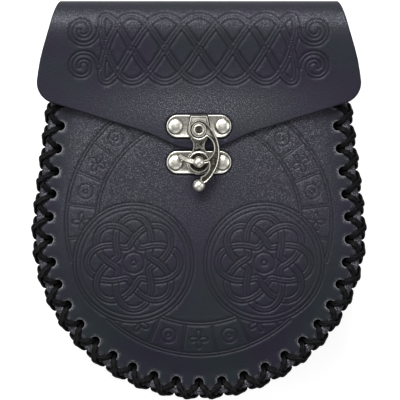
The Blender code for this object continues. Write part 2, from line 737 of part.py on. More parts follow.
def make_lower_plate():
    bm = bmesh.new()
    add_slab(bm, plate_outline(POST_Y), LOWER_PLATE_BASE, LOWER_PLATE_FACE)
    plate = add_piece("clasp_lower_plate", to_mesh("clasp_lower_plate", bm), antique_silver)

    boss_top = UPPER_PLATE_BASE - GAP
    boss_radius = RING_OUTER_RADIUS + BOSS_MARGIN
    head_level = POST_EYE_HIGH + POST_HEAD_LIFT
    widest = (POST_HEAD_RADIUS**2 - POST_RADIUS**2) ** 0.5
    head = arc((0, head_level), POST_HEAD_RADIUS, pi / 2, -atan2(widest, POST_RADIUS), POST_HEAD_STEPS)
    profile = [(0, head_level + POST_HEAD_RADIUS)] + [tuple(point) for point in head[1:]]
    profile += [
        (POST_RADIUS, boss_top),
        (boss_radius, boss_top),
        (boss_radius, LOWER_PLATE_BASE + PLATE_THICKNESS / 2),
        (0, LOWER_PLATE_BASE + PLATE_THICKNESS / 2),
    ]
    post = add_helper("post", profile_mesh("post", profile))
    turn_around(post, POST_SIDES)
    post.location = (0, POST_Y, 0)
    boolean(plate, post, "UNION")

    eye = bmesh.new()
    half_gap = TINE_WIDTH / 2 + TINE_CLEARANCE
    sag = TINE_RADIUS - (TINE_RADIUS**2 - POST_HEAD_RADIUS**2) ** 0.5
    eye_outline = [
        (-2 * POST_HEAD_RADIUS, POST_Y - half_gap),
        (2 * POST_HEAD_RADIUS, POST_Y - half_gap),
        (2 * POST_HEAD_RADIUS, POST_Y + half_gap + sag),
        (-2 * POST_HEAD_RADIUS, POST_Y + half_gap + sag),
    ]
    add_slab(eye, eye_outline, POST_EYE_LOW, POST_EYE_HIGH)
    boolean(plate, add_helper("post_eye", to_mesh("post_eye", eye)), "DIFFERENCE")
    bores = bmesh.new()
    low, high = LOWER_PLATE_BASE - PLATE_THICKNESS, LOWER_PLATE_FACE + PLATE_THICKNESS
    add_rivet_bores(bores, plate_rivet_places(POST_Y), low, high)
    boolean(plate, add_helper("lower_plate_bores", to_mesh("lower_plate_bores", bores)), "DIFFERENCE")


def hook_outline():
    """The hook from above, measured from its pivot: eye, window, tine, lobe, heel and back, anticlockwise."""
    pivot = Vector((0, 0))
    stand_off = HOOK_REACH - HOOK_EYE_RADIUS
    back_across = (HOOK_BACK_DROP**2 - stand_off**2) / (2 * stand_off)
    back = Vector((-back_across, -HOOK_BACK_DROP))
    back_radius = HOOK_REACH + back_across
    back_end = atan2(HOOK_BACK_DROP, back_across)
    window, window_radius = Vector(HOOK_WINDOW[:2]) * TINE_RADIUS, HOOK_WINDOW[2] * TINE_RADIUS
    lobe, lobe_radius = Vector(HOOK_LOBE[:2]) * TINE_RADIUS, HOOK_LOBE[2] * TINE_RADIUS
    inner, outer = TINE_RADIUS - TINE_WIDTH / 2, TINE_RADIUS + TINE_WIDTH / 2

    eye_to_window = circles_meet(pivot, HOOK_EYE_RADIUS, window, window_radius)
    window_to_tine = circles_meet(pivot, inner, window, window_radius)
    tine_to_lobe = circles_meet(pivot, outer, lobe, lobe_radius)

    def angle(centre, point):
        return atan2(point.y - centre.y, point.x - centre.x)

    eye_end = angle(pivot, eye_to_window) + 2 * pi
    window_start, window_end = angle(window, eye_to_window), angle(window, window_to_tine)
    outline = arc(pivot, HOOK_EYE_RADIUS, back_end, eye_end, HOOK_EYE_STEPS)
    outline += arc(window, window_radius, window_start, window_end, HOOK_WINDOW_STEPS)[1:]
    outline += arc(pivot, inner, angle(pivot, window_to_tine), TINE_END, TINE_STEPS)[1:]
    outline += arc(pivot, outer, TINE_END, angle(pivot, tine_to_lobe), TINE_STEPS)
    outline += arc(lobe, lobe_radius, angle(lobe, tine_to_lobe), HOOK_LOBE_END, HOOK_LOBE_STEPS)[1:]
    outline += [Vector((0, -KNOB_DROP))]
    outline += arc(back, back_radius, HOOK_HEEL, back_end, HOOK_BACK_STEPS)[:-1]
    return outline


def make_hook():
    """The hook turns about its origin, which is on the pivot's axis."""
    bm = bmesh.new()
    add_slab(bm, hook_outline(), HOOK_BASE, HOOK_FACE)
    hook = add_piece("clasp_hook", to_mesh("clasp_hook", bm), antique_silver)
    hook.location = (0, PIVOT_Y, 0)
    ball = bmesh.new()
    place = Matrix.Translation((0, PIVOT_Y - KNOB_DROP, (HOOK_BASE + HOOK_FACE) / 2))
    bmesh.ops.create_uvsphere(
        ball, u_segments=POST_SIDES, v_segments=KNOB_RINGS, radius=KNOB_RADIUS, matrix=place
    )
    boolean(hook, add_helper("knob", to_mesh("knob", ball)), "UNION")
    bore = bmesh.new()
    low, high = HOOK_BASE - HOOK_THICKNESS, HOOK_FACE + HOOK_THICKNESS
    add_bore(bore, 0, PIVOT_Y, low, high, PIVOT_RADIUS + RUNNING_CLEARANCE, POST_SIDES)
    boolean(hook, add_helper("hook_bore", to_mesh("hook_bore", bore)), "DIFFERENCE")


def make_pivot():
    head_low = HOOK_FACE + RUNNING_CLEARANCE
    head_high = head_low + PIVOT_HEAD_HEIGHT
    profile = [
        (0, head_high - PIVOT_BORE_DEPTH),
        (PIVOT_BORE_RADIUS, head_high - PIVOT_BORE_DEPTH),
        (PIVOT_BORE_RADIUS, head_high),
        (PIVOT_HEAD_RADIUS - PIVOT_HEAD_HEIGHT / 2, head_high),
        (PIVOT_HEAD_RADIUS, head_high - PIVOT_HEAD_HEIGHT / 2),
        (PIVOT_HEAD_RADIUS, head_low),
        (PIVOT_RADIUS, head_low),
        (PIVOT_RADIUS, UPPER_PLATE_BASE + PIVOT_TAIL_HEIGHT),
        (PIVOT_TAIL_RADIUS, UPPER_PLATE_BASE + PIVOT_TAIL_HEIGHT),
        (PIVOT_TAIL_RADIUS, UPPER_PLATE_BASE),
        (0, UPPER_PLATE_BASE),
    ]
    pivot = add_piece("clasp_pivot", profile_mesh("clasp_pivot", profile), antique_silver)
    turn_around(pivot, POST_SIDES)
    pivot.location = (0, PIVOT_Y, 0)


def make_rivets():
    """Four rivets through the clasp's plates, and four through the belt loops, which point down."""
    clasp_grip = PLATE_THICKNESS + LEATHER + 2 * GAP
    loop_grip = 2 * LEATHER + 2 * GAP
    loop_places = loop_rivet_places(-1) + loop_rivet_places(1)
    rows = (
        ("clasp_upper_rivet", plate_rivet_places(UPPER_PLATE_Y), UPPER_PLATE_FACE + GAP, clasp_grip, 1),
        ("clasp_lower_rivet", plate_rivet_places(POST_Y), LOWER_PLATE_FACE + GAP, clasp_grip, 1),
        ("belt_loop_rivet", loop_places, BACK_OUTER - LEATHER - 2 * GAP, loop_grip, -1),
    )
    for name, places, seat, grip, direction in rows:
        metal = antique_silver if direction > 0 else dark_nickel
        for number, (x, y) in enumerate(places, start=1):
            rivet_name = f"{name}_{number}"
            rivet = add_piece(rivet_name, rivet_mesh(rivet_name, grip), metal)
            turn_around(rivet, RIVET_SIDES)
            rivet.location = (x, y, seat)
            rivet.rotation_euler.x = 0 if direction > 0 else pi


def centre_on_ground():
    """Move the bag so that the origin is at the middle of its bounding box's lowest face."""
    bpy.context.view_layer.update()
    graph = bpy.context.evaluated_depsgraph_get()
    corners = []
    for obj in pieces.objects:
        if obj.type == "EMPTY":
            continue
        evaluated = obj.evaluated_get(graph)
        mesh = evaluated.to_mesh()
        corners += [evaluated.matrix_world @ vert.co for vert in mesh.vertices]
        evaluated.to_mesh_clear()
    low = [min(corner[axis] for corner in corners) for axis in range(3)]
    high = [max(corner[axis] for corner in corners) for axis in range(3)]
    bag.location = (-(low[0] + high[0]) / 2, -(low[1] + high[1]) / 2, -low[2])


make_front_panel()
make_back_and_flap()
make_gusset()
make_lacing("front_lacing", FRONT_EDGE, 1, crown_height(HOLE_INSET))
make_lacing("back_lacing", BACK_OUTER, -1, 0)
make_belt_loop("belt_loop_left", -1)
make_belt_loop("belt_loop_right", 1)
make_upper_plate()
make_lower_plate()
make_hook()
make_pivot()
make_rivets()
centre_on_ground()
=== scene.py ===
# %% [markdown]
# A laced leather waist bag, lying on its back
#
# The bag is one crowned front panel, one long piece that is both back and flap, and a strip of leather
# between them. A black cord laces both edges of the strip. A cast swing-hook clasp holds the flap down.
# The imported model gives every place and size, so this lesson begins by loading it.

# %% The frame
import json
from math import atan2, cos, hypot, pi, radians, sin, sqrt, tan

import bmesh
import bpy
import numpy as np
from mathutils import Matrix, Vector
from mathutils.kdtree import KDTree

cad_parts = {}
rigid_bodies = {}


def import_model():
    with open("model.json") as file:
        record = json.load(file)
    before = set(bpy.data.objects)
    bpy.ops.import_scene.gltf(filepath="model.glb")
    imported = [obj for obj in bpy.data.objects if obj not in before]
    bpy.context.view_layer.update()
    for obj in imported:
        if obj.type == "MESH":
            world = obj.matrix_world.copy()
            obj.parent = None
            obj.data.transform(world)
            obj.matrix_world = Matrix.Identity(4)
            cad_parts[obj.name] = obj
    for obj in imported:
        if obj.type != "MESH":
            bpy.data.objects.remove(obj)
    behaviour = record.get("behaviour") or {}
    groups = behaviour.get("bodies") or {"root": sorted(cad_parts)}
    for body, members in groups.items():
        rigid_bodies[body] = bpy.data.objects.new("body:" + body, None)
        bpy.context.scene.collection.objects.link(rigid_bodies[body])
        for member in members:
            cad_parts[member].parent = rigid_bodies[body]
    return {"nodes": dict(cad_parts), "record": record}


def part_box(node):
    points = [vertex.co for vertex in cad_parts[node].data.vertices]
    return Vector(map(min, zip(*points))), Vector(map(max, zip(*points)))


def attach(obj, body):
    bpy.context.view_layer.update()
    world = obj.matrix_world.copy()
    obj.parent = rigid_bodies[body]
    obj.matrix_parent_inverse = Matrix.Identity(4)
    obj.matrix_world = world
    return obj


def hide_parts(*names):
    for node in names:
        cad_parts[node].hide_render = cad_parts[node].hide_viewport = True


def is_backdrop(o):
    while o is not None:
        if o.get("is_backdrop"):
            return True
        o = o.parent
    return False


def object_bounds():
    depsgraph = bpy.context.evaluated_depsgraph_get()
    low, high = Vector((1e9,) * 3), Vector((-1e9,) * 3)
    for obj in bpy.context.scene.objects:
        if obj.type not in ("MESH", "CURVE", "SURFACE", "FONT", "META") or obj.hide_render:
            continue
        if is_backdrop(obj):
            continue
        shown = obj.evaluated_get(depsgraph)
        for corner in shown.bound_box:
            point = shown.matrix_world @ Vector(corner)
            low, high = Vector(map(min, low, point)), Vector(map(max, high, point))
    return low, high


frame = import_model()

MM = 0.001
cad_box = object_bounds()
print("frame:", len(frame["nodes"]), "nodes, box in mm", [[round(v / MM, 1) for v in c] for c in cad_box])

# %% [markdown]
# Sizes that the whole bag shares
#
# A leather worker marks the stitch line with dividers: a row of holes at one distance from the cut edge,
# round the bottom and up both leaning sides. Here too a point of the border is given by how far it lies
# along that row and how far in from the edge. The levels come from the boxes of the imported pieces.

# %% Sizes and levels
LEATHER = 2.2 * MM
EDGE_RADIUS = 81.6 * MM
SIDE_LEAN = radians(7.0)
BAG_TOP = 115.9 * MM
BODY_TOP = 104.0 * MM
HOLE_RADIUS = 2.4 * MM
HOLE_INSET = 6.3 * MM
MOUTH_MARGIN = 5.5 * MM
STITCHES = 38
CROWN_HEIGHT = 3.6 * MM
CROWN_INSET = 32.0 * MM
PLATE_LENGTH = 32.2 * MM
PLATE_WIDTH = 11.3 * MM
KNOB_RADIUS = 3.15 * MM

panel_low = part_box("front_panel")[0]
fold_low, fold_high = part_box("back_and_flap")
strip_low, strip_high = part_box("gusset")
FRONT_EDGE = panel_low.z + LEATHER
BACK_OUTER = fold_low.z
FLAP_OUTER = fold_high.z
CENTRE = Vector(((fold_low.x + fold_high.x) / 2, fold_high.y - BAG_TOP, 0))

ROW_RADIUS = EDGE_RADIUS - HOLE_INSET
ROW_ARC = ROW_RADIUS * (pi / 2 + SIDE_LEAN)
ROW_END = ROW_ARC + (BODY_TOP - MOUTH_MARGIN - ROW_RADIUS * sin(SIDE_LEAN)) / cos(SIDE_LEAN)
PITCH = 2 * ROW_END / STITCHES
STATIONS = [(index - STITCHES / 2) * PITCH for index in range(STITCHES + 1)]
print(f"hole row: {len(STATIONS)} holes, {PITCH / MM:.2f} mm apart; bottom centre {CENTRE.y / MM:.2f} mm")

# %% [markdown]
# Two ways to say where a point of leather is
#
# `edge_place` turns a place along the row and an inset into x and y, and `edge_measure` turns it back. Both
# work on whole arrays, because thousands of points of a panel are asked at once. Their zero is the centre of
# the round bottom.

# %% Along the row and in from the edge
def edge_place(along, inset):
    along, inset = np.asarray(along, float), np.asarray(inset, float)
    radius = EDGE_RADIUS - inset
    turn = np.abs(along) / ROW_RADIUS - pi / 2
    up = np.abs(along) - ROW_ARC
    x = np.where(up < 0, radius * np.cos(turn), radius * cos(SIDE_LEAN) - up * sin(SIDE_LEAN))
    y = np.where(up < 0, radius * np.sin(turn), radius * sin(SIDE_LEAN) + up * cos(SIDE_LEAN))
    return np.where(along < 0, -x, x), y


def edge_measure(x, y):
    side = np.abs(x)
    turn = np.arctan2(y, side)
    up = y * cos(SIDE_LEAN) - side * sin(SIDE_LEAN)
    on_side = turn > SIDE_LEAN
    inset = EDGE_RADIUS - np.where(on_side, side * cos(SIDE_LEAN) + y * sin(SIDE_LEAN), np.hypot(x, y))
    along = np.where(on_side, ROW_ARC + up, ROW_RADIUS * (turn + pi / 2))
    return np.where(x < 0, -along, along), inset


def in_frame(x, y, z):
    """Points of the shared frame, from x and y about the round bottom's centre."""
    return np.column_stack((x + CENTRE.x, y + CENTRE.y, z))


def smooth_step(value):
    value = np.clip(value, 0, 1)
    return value * value * (3 - 2 * value)


def bell(value):
    return np.exp(-value * value)


there = edge_measure(*edge_place(np.array([-200.0, 30.0]) * MM, np.array([3.0, 9.0]) * MM))
print("row and inset come back as", np.round(np.array(there) / MM, 3).tolist())

# %% [markdown]
# From a bmesh to an object
#
# Every shape here is built with bmesh operators, then handed to a mesh and shown by an object. The object
# of a piece stays at the origin, so a point of its mesh is a place in the shared frame.

# %% Mesh helpers
def only(kind, geometry):
    return [item for item in geometry if isinstance(item, kind)]


def to_mesh(name, bm):
    """Turn a bmesh into a mesh and free it."""
    mesh = bpy.data.meshes.new(name)
    bm.to_mesh(mesh)
    bm.free()
    return mesh


def add_object(name, data):
    obj = bpy.data.objects.new(name, data)
    bpy.context.scene.collection.objects.link(obj)
    return obj


print("mesh helpers ready")

# %% [markdown]
# Shader maths as plain expressions
#
# A material is a graph of nodes, but its maths reads best as a formula. `Value` wraps a node's socket, and
# its operators add Math nodes. Everything else goes through `Graph.node`: the node's type, its settings,
# which are set first, and what goes into its sockets.

# %% Node helpers
class Value:
    def __init__(self, graph, socket):
        self.graph = graph
        self.socket = socket

    def maths(self, operation, *others):
        return self.graph.node("ShaderNodeMath", {"operation": operation}, dict(enumerate((self, *others))))

    def __add__(self, other):
        return self.maths("ADD", other)

    def __sub__(self, other):
        return self.maths("SUBTRACT", other)

    def __rsub__(self, other):
        return self * -1 + other

    def __mul__(self, other):
        return self.maths("MULTIPLY", other)

    __radd__ = __add__
    __rmul__ = __mul__

    def clamped(self):
        return self.graph.node("ShaderNodeClamp", {}, {"Value": self})


class Graph:
    """The nodes of one material, which starts with a Principled shader."""

    def __init__(self, name):
        self.material = bpy.data.materials.new(name)
        self.material.use_nodes = True
        self.tree = self.material.node_tree
        self.shader = self.tree.nodes["Principled BSDF"]

    def feed(self, socket, value):
        if isinstance(value, Value):
            self.tree.links.new(value.socket, socket)
        else:
            socket.default_value = value

    def node(self, kind, settings, sockets, output=0):
        made = self.tree.nodes.new(kind)
        for name, value in settings.items():
            setattr(made, name, value)
        for key, value in sockets.items():
            self.feed(made.inputs[key], value)
        return Value(self, made.outputs[output])

    def place(self, scale=(1, 1, 1)):
        coordinates = self.node("ShaderNodeTexCoord", {}, {}, "Object")
        return self.node("ShaderNodeMapping", {}, {"Vector": coordinates, "Scale": scale})

    def noise(self, vector, scale, detail=3.0, roughness=0.5):
        sockets = {"Vector": vector, "Scale": scale, "Detail": detail, "Roughness": roughness}
        return self.node("ShaderNodeTexNoise", {}, sockets, "Fac")

    def attribute(self, name):
        return self.node("ShaderNodeAttribute", {"attribute_name": name}, {}, "Fac")

    def stretched(self, value, low, high, to_low=0.0, to_high=1.0):
        sockets = {"Value": value, "From Min": low, "From Max": high, "To Min": to_low, "To Max": to_high}
        return self.node("ShaderNodeMapRange", {}, sockets)

    def mixed(self, share, first, second):
        """A colour between two others; a colour is given as three numbers or comes from a node."""
        first, second = [item if isinstance(item, Value) else (*item, 1) for item in (first, second)]
        return self.node("ShaderNodeMix", {"data_type": "RGBA"}, {0: share, 6: first, 7: second}, 2)

    def bump(self, height, strength, distance, **below):
        """A bump; a coarser bump below it is given as its Normal."""
        sockets = {"Height": height, "Strength": strength, "Distance": distance, **below}
        return self.node("ShaderNodeBump", {}, sockets)

    def finish(self, **sockets):
        """Set the shader's own sockets, named with underscores for spaces."""
        for name, value in sockets.items():
            self.feed(self.shader.inputs[name.replace("_", " ")], value)
        return self.material


print("node helpers ready")

# %% [markdown]
# The studio: floor, light and camera
#
# The photo was taken from straight above with a long lens, against pure white. The floor is pale paper that
# glows for the camera only: the picture's background turns white, and the bag's bends don't mirror a white
# floor. The sky is dim, because level leather mirrors it. Large lamps stand all round instead. The strongest
# one is beyond the bag's top, and draws every tooled line with a dark upper side and a bright lower side. A
# weak one hangs over the camera, for the level metal to mirror.

# %% Studio
LENS = 360.0
SENSOR = 36.0
VIEW_WIDTH = 200 * MM
VIEW_CENTRE = Vector((0.5 * MM, -0.1 * MM, 50 * MM))
SKY = 0.22
SKY_COLOUR = (0.97, 0.98, 1.0, 1)
FLOOR_SIZE = 3.0
FLOOR_GLOW = 0.75
FLOOR_COLOUR = (0.52, 0.52, 0.52, 1)
LAMP_TARGET = Vector((0, 0, 40 * MM))
# Each lamp: name, place in metres, size in metres, power in watts
LAMPS = (
    ("key", (-0.25, 1.00, 1.15), (1.1, 0.7), 27.0),
    ("left", (-1.20, 0.10, 0.80), (1.2, 1.2), 8.5),
    ("right", (1.20, 0.05, 0.80), (1.2, 1.2), 6.5),
    ("low", (0.15, -1.20, 0.80), (1.2, 1.2), 3.5),
    ("top", (0.05, 0.10, 2.60), (0.9, 0.9), 2.2),
)


def add_sky(scene):
    scene.world = bpy.data.worlds.new("sky")
    scene.world.use_nodes = True
    sky = scene.world.node_tree.nodes["Background"]
    sky.inputs["Color"].default_value = SKY_COLOUR
    sky.inputs["Strength"].default_value = SKY


def add_lamp(name, place, size, power):
    lamp = bpy.data.lights.new(name, "AREA")
    lamp.shape = "RECTANGLE"
    lamp.size, lamp.size_y = size
    lamp.energy = power
    obj = add_object(name, lamp)
    obj.location = place
    obj.rotation_euler = (LAMP_TARGET - obj.location).to_track_quat("-Z", "Y").to_euler()


def add_floor():
    bm = bmesh.new()
    bmesh.ops.create_grid(bm, x_segments=1, y_segments=1, size=FLOOR_SIZE)
    floor = add_object("floor", to_mesh("floor", bm))
    paper = Graph("pale_paper")
    seen = paper.node("ShaderNodeLightPath", {}, {}, "Is Camera Ray")
    glow = paper.mixed(seen, (0, 0, 0), (1, 1, 1))
    floor.data.materials.append(
        paper.finish(
            Base_Color=FLOOR_COLOUR,
            Roughness=0.9,
            Specular_IOR_Level=0.1,
            Emission_Color=glow,
            Emission_Strength=FLOOR_GLOW,
        )
    )
    floor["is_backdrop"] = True


def add_camera(scene):
    camera = bpy.data.cameras.new("camera")
    camera.lens = LENS
    camera.sensor_width = SENSOR
    camera.clip_end = 20.0
    eye = add_object("camera", camera)
    eye.location = VIEW_CENTRE + Vector((0, 0, VIEW_WIDTH * LENS / SENSOR))
    scene.camera = eye
    return eye


studio = bpy.context.scene
studio.view_settings.view_transform = "Standard"
add_sky(studio)
for lamp in LAMPS:
    add_lamp(*lamp)
add_floor()
eye = add_camera(studio)
print("camera", round(eye.location.z, 3), "m up, looking straight down")

# %% [markdown]
# Leather, cord and metal
#
# Dyed leather is nearly black, so what shows is its sheen: a fine pebbled grain, slow clouds of dye, pale
# specks that are partly scuffed fibres and partly painted glints of light on the grain, and tooled lines that
# hold darker dye. Each leather piece carries three attributes: groove for tooled lines and for the painted
# shadows round the clasp plates and the knob, dyed_edge for cut edges, and a third for wear and painted sheen.
# The highest values of that third one paint a highlight on the rims of the front's holes. Everything else
# reads Object coordinates.

# %% Leather finish
def leather_finish():
    graph = Graph("blue_black_leather")
    place = graph.place()
    clouds = graph.noise(place, 28.0, 4.0, 0.55)
    fibre = graph.noise(place, 1700.0, 2.0, 0.7)
    cells = {"Vector": place, "Scale": 1500.0, "Smoothness": 0.5}
    pebble = graph.node("ShaderNodeTexVoronoi", {"feature": "SMOOTH_F1"}, cells)
    wrinkle = graph.noise(graph.place((1, 2.2, 1)), 420.0, 3.0, 0.6)
    groove = graph.attribute("groove")
    dyed = graph.attribute("dyed_edge")
    wear_and_sheen = graph.attribute("wear_and_sheen")

    # Pale specks: scuffed fibres, and painted glints where the grain would catch the light.
    wear_and_glint = graph.stretched(fibre, 0.53, 0.63) * wear_and_sheen * wear_and_sheen
    dye = graph.stretched(clouds, 0.40, 0.60)
    tint = graph.mixed(dye, (0.0105, 0.0080, 0.0170), (0.0080, 0.0120, 0.0145))
    # Mixed in turn: lighter leather, as wear and painted sheen; pale specks, as wear and painted glints; a
    # painted highlight on the front's hole rims; dark tooled lines and painted shadows; dark edge dye.
    for share, colour in (
        (wear_and_sheen * 0.6, (0.032, 0.032, 0.039)),
        (wear_and_glint * 0.9, (0.20, 0.20, 0.225)),
        (graph.stretched(wear_and_sheen, 1.6, 2.5), (0.20, 0.20, 0.21)),
        (groove * 0.8, (0.002, 0.002, 0.003)),
        (dyed * 0.8, (0.003, 0.003, 0.005)),
    ):
        tint = graph.mixed(share.clamped(), tint, colour)
    roughness = graph.stretched(clouds, 0.3, 0.7, 0.37, 0.46) + fibre * 0.08
    fine = graph.bump(pebble * 0.5 + fibre, 0.5, 0.16 * MM)
    grain = graph.bump(wrinkle + clouds * 0.6, 0.25, 0.35 * MM, Normal=fine)
    return graph.finish(
        Base_Color=tint,
        Roughness=roughness.clamped(),
        Normal=grain,
        Specular_IOR_Level=0.26,
        Specular_Tint=(0.86, 0.86, 1.0, 1),
    )


FINISHES = {"leather": leather_finish()}
print("leather nodes:", len(FINISHES["leather"].node_tree.nodes))

# %% [markdown]
# Waxed cord and antique silver
#
# The cord is a braid: its strands show as slanting ribs, drawn from the cord's own UV map, which runs along
# the cord and round it. The clasp is a casting that was blackened and then polished, so the dark stays in
# every recess and the raised rims are bright. The recess attribute says how dark a point is: patina, and
# painted shade at the foot of each part, round the shield and round the rivets' domes.

# %% Cord and metal finishes
def cord_finish():
    graph = Graph("waxed_cord")
    unrolled = graph.node("ShaderNodeUVMap", {"uv_map": "cord"}, {})
    parts = [graph.node("ShaderNodeSeparateXYZ", {}, {"Vector": unrolled}, axis) for axis in "XY"]
    lengthwise, around = parts
    ribs = ((lengthwise * 5.0 + around * 4.0) * (2 * pi)).maths("SINE")
    counter = ((lengthwise * 5.0 - around * 4.0) * (2 * pi)).maths("SINE")
    braid = ribs.maths("MAXIMUM", counter)
    fuzz = graph.noise(graph.place(), 2600.0, 2.0, 0.6)
    tint = graph.mixed(graph.stretched(braid, -0.2, 1.0), (0.0008, 0.0008, 0.001), (0.003, 0.003, 0.004))
    bump = graph.bump(braid + fuzz * 0.5, 0.7, 0.25 * MM)
    return graph.finish(Base_Color=tint, Roughness=0.5, Normal=bump, Specular_IOR_Level=0.1)


def metal_finish(name, bright, dark, roughness):
    graph = Graph(name)
    place = graph.place()
    mottle = graph.noise(place, 650.0, 4.0, 0.65)
    pits = graph.noise(place, 2200.0, 2.0, 0.5)
    recess = graph.attribute("recess")
    tarnish = graph.stretched(mottle * 0.8 + pits * 0.6 + recess * 0.62, 0.68, 1.3)
    tint = graph.mixed(tarnish, bright, dark)
    polish = graph.stretched(mottle, 0.3, 0.7, roughness - 0.08, roughness + 0.1) + recess * 0.15
    bump = graph.bump(mottle * 0.7 + pits * 0.4, 0.35, 0.12 * MM)
    return graph.finish(Base_Color=tint, Metallic=1.0, Roughness=polish.clamped(), Normal=bump)


FINISHES["cord"] = cord_finish()
FINISHES["clasp_metal"] = metal_finish("antique_silver", (0.80, 0.78, 0.70), (0.035, 0.030, 0.024), 0.33)
FINISHES["rivet_metal"] = metal_finish("dark_nickel", (0.30, 0.30, 0.31), (0.05, 0.05, 0.05), 0.38)
print("finishes:", {slot: finish.name for slot, finish in FINISHES.items()})

# %% [markdown]
# Cutting leather in the flat
#
# The border is one small cell of leather with one hole, repeated along the row, as a punch repeats. Rings of
# narrow faces run round the hole and along the cut edge, so that both can be rounded over. A cell is made
# in the flat, where x is the way along the row and y the inset from the cut edge.

# %% A cell with one hole
ROUNDING_RINGS = (0.25 * MM, 0.6 * MM)
CELL_SEGMENTS = 32
MERGE = 0.004 * MM
END_MARGIN = 4 * MM


def cut_across(bm, place, normal, drop=False):
    geometry = bm.verts[:] + bm.edges[:] + bm.faces[:]
    bmesh.ops.bisect_plane(
        bm, geom=geometry, dist=MERGE, plane_co=place, plane_no=normal, clear_outer=drop
    )


def hole_cell(radius, outer_width, inner_width):
    """A flat cell as long as the pitch, whose hole is centred outer_width from the cut edge at y = 0."""
    bm = bmesh.new()
    bmesh.ops.create_circle(bm, cap_ends=False, segments=CELL_SEGMENTS, radius=radius)
    ring, reach = bm.edges[:], radius
    for step in (*ROUNDING_RINGS, None):
        grown = bmesh.ops.extrude_edge_only(bm, edges=ring)["geom"]
        moved = set(only(bmesh.types.BMVert, grown))
        for vert in moved:
            if step is None:
                vert.co *= 1 / max(abs(vert.co.x), abs(vert.co.y))
                vert.co.x *= PITCH / 2
                vert.co.y *= inner_width if vert.co.y > 0 else outer_width
            else:
                vert.co *= (radius + step) / reach
        spokes = [edge for edge in only(bmesh.types.BMEdge, grown) if moved.intersection(edge.verts)]
        ring = [edge for edge in spokes if moved.issuperset(edge.verts)]
        reach = radius + (step or 0)
    spokes = [edge for edge in bm.edges if len(moved.intersection(edge.verts)) == 1]
    bmesh.ops.subdivide_edges(bm, edges=spokes, cuts=2, use_grid_fill=True)
    bmesh.ops.translate(bm, verts=bm.verts, vec=(0, outer_width, 0))
    for step in ROUNDING_RINGS:
        cut_across(bm, (0, step, 0), (0, 1, 0))
    return to_mesh("hole_cell", bm)


def repeat(bm, mesh, stations):
    """Add a copy of the mesh at each station along the row."""
    for station in stations:
        known = len(bm.verts)
        bm.from_mesh(mesh)
        bm.verts.ensure_lookup_table()
        bmesh.ops.translate(bm, verts=bm.verts[known:], vec=(station, 0, 0))


def hole_strip(cell):
    """The cell repeated at every station, with plain leather beyond the last hole at each end."""
    bm = bmesh.new()
    repeat(bm, cell, STATIONS)
    bmesh.ops.remove_doubles(bm, verts=bm.verts, dist=MERGE)
    end = ROW_END + PITCH / 2
    for side in (-1, 1):
        rim = [e for e in bm.edges if all(abs(v.co.x - side * end) < MERGE for v in e.verts)]
        grown = bmesh.ops.extrude_edge_only(bm, edges=rim)["geom"]
        bmesh.ops.translate(bm, verts=only(bmesh.types.BMVert, grown), vec=(side * END_MARGIN, 0, 0))
    return bm


border_cell = hole_cell(HOLE_RADIUS, HOLE_INSET, HOLE_INSET)
print("border cell:", len(border_cell.vertices), "points,", len(border_cell.polygons), "faces")

# %% [markdown]
# From the border to a whole sheet
#
# The rest of a panel has no holes, so it can be an even grid. Its outline is closed first, narrow rings of
# faces follow it, and a grid is trimmed to fit inside them. Triangles fill the gap between the two. The grid
# is what lets the leather bend, swell and carry its tooling evenly.

# %% Filling the middle of a sheet
GRID_STEP = 1.6 * MM
GRID_MARGIN = 0.9 * MM


def spaced(points, step):
    """The same open line, with points added so that none are further apart than the step."""
    line = [Vector(points[0])]
    for start, end in zip(points, points[1:]):
        start, end = Vector(start), Vector(end)
        pieces = max(1, round((end - start).length / step))
        line += [start.lerp(end, piece / pieces) for piece in range(1, pieces + 1)]
    return line


def distance_inside(points, loop):
    """How far each point lies inside a closed loop of corners; negative outside."""
    corners = np.array(loop)
    ahead = np.roll(corners, -1, axis=0)
    nearest = np.full(len(points), np.inf)
    crossings = np.zeros(len(points), int)
    for start, end in zip(corners, ahead):
        along = end - start
        share = np.clip(((points - start) @ along) / (along @ along), 0, 1)
        gap = points - start - share[:, None] * along
        nearest = np.minimum(nearest, np.hypot(gap[:, 0], gap[:, 1]))
        spans = (start[1] > points[:, 1]) != (end[1] > points[:, 1])
        if along[1] != 0:
            across = start[0] + (points[:, 1] - start[1]) / along[1] * along[0]
            crossings += spans & (points[:, 0] < across)
    return np.where(crossings % 2 == 1, nearest, -nearest)


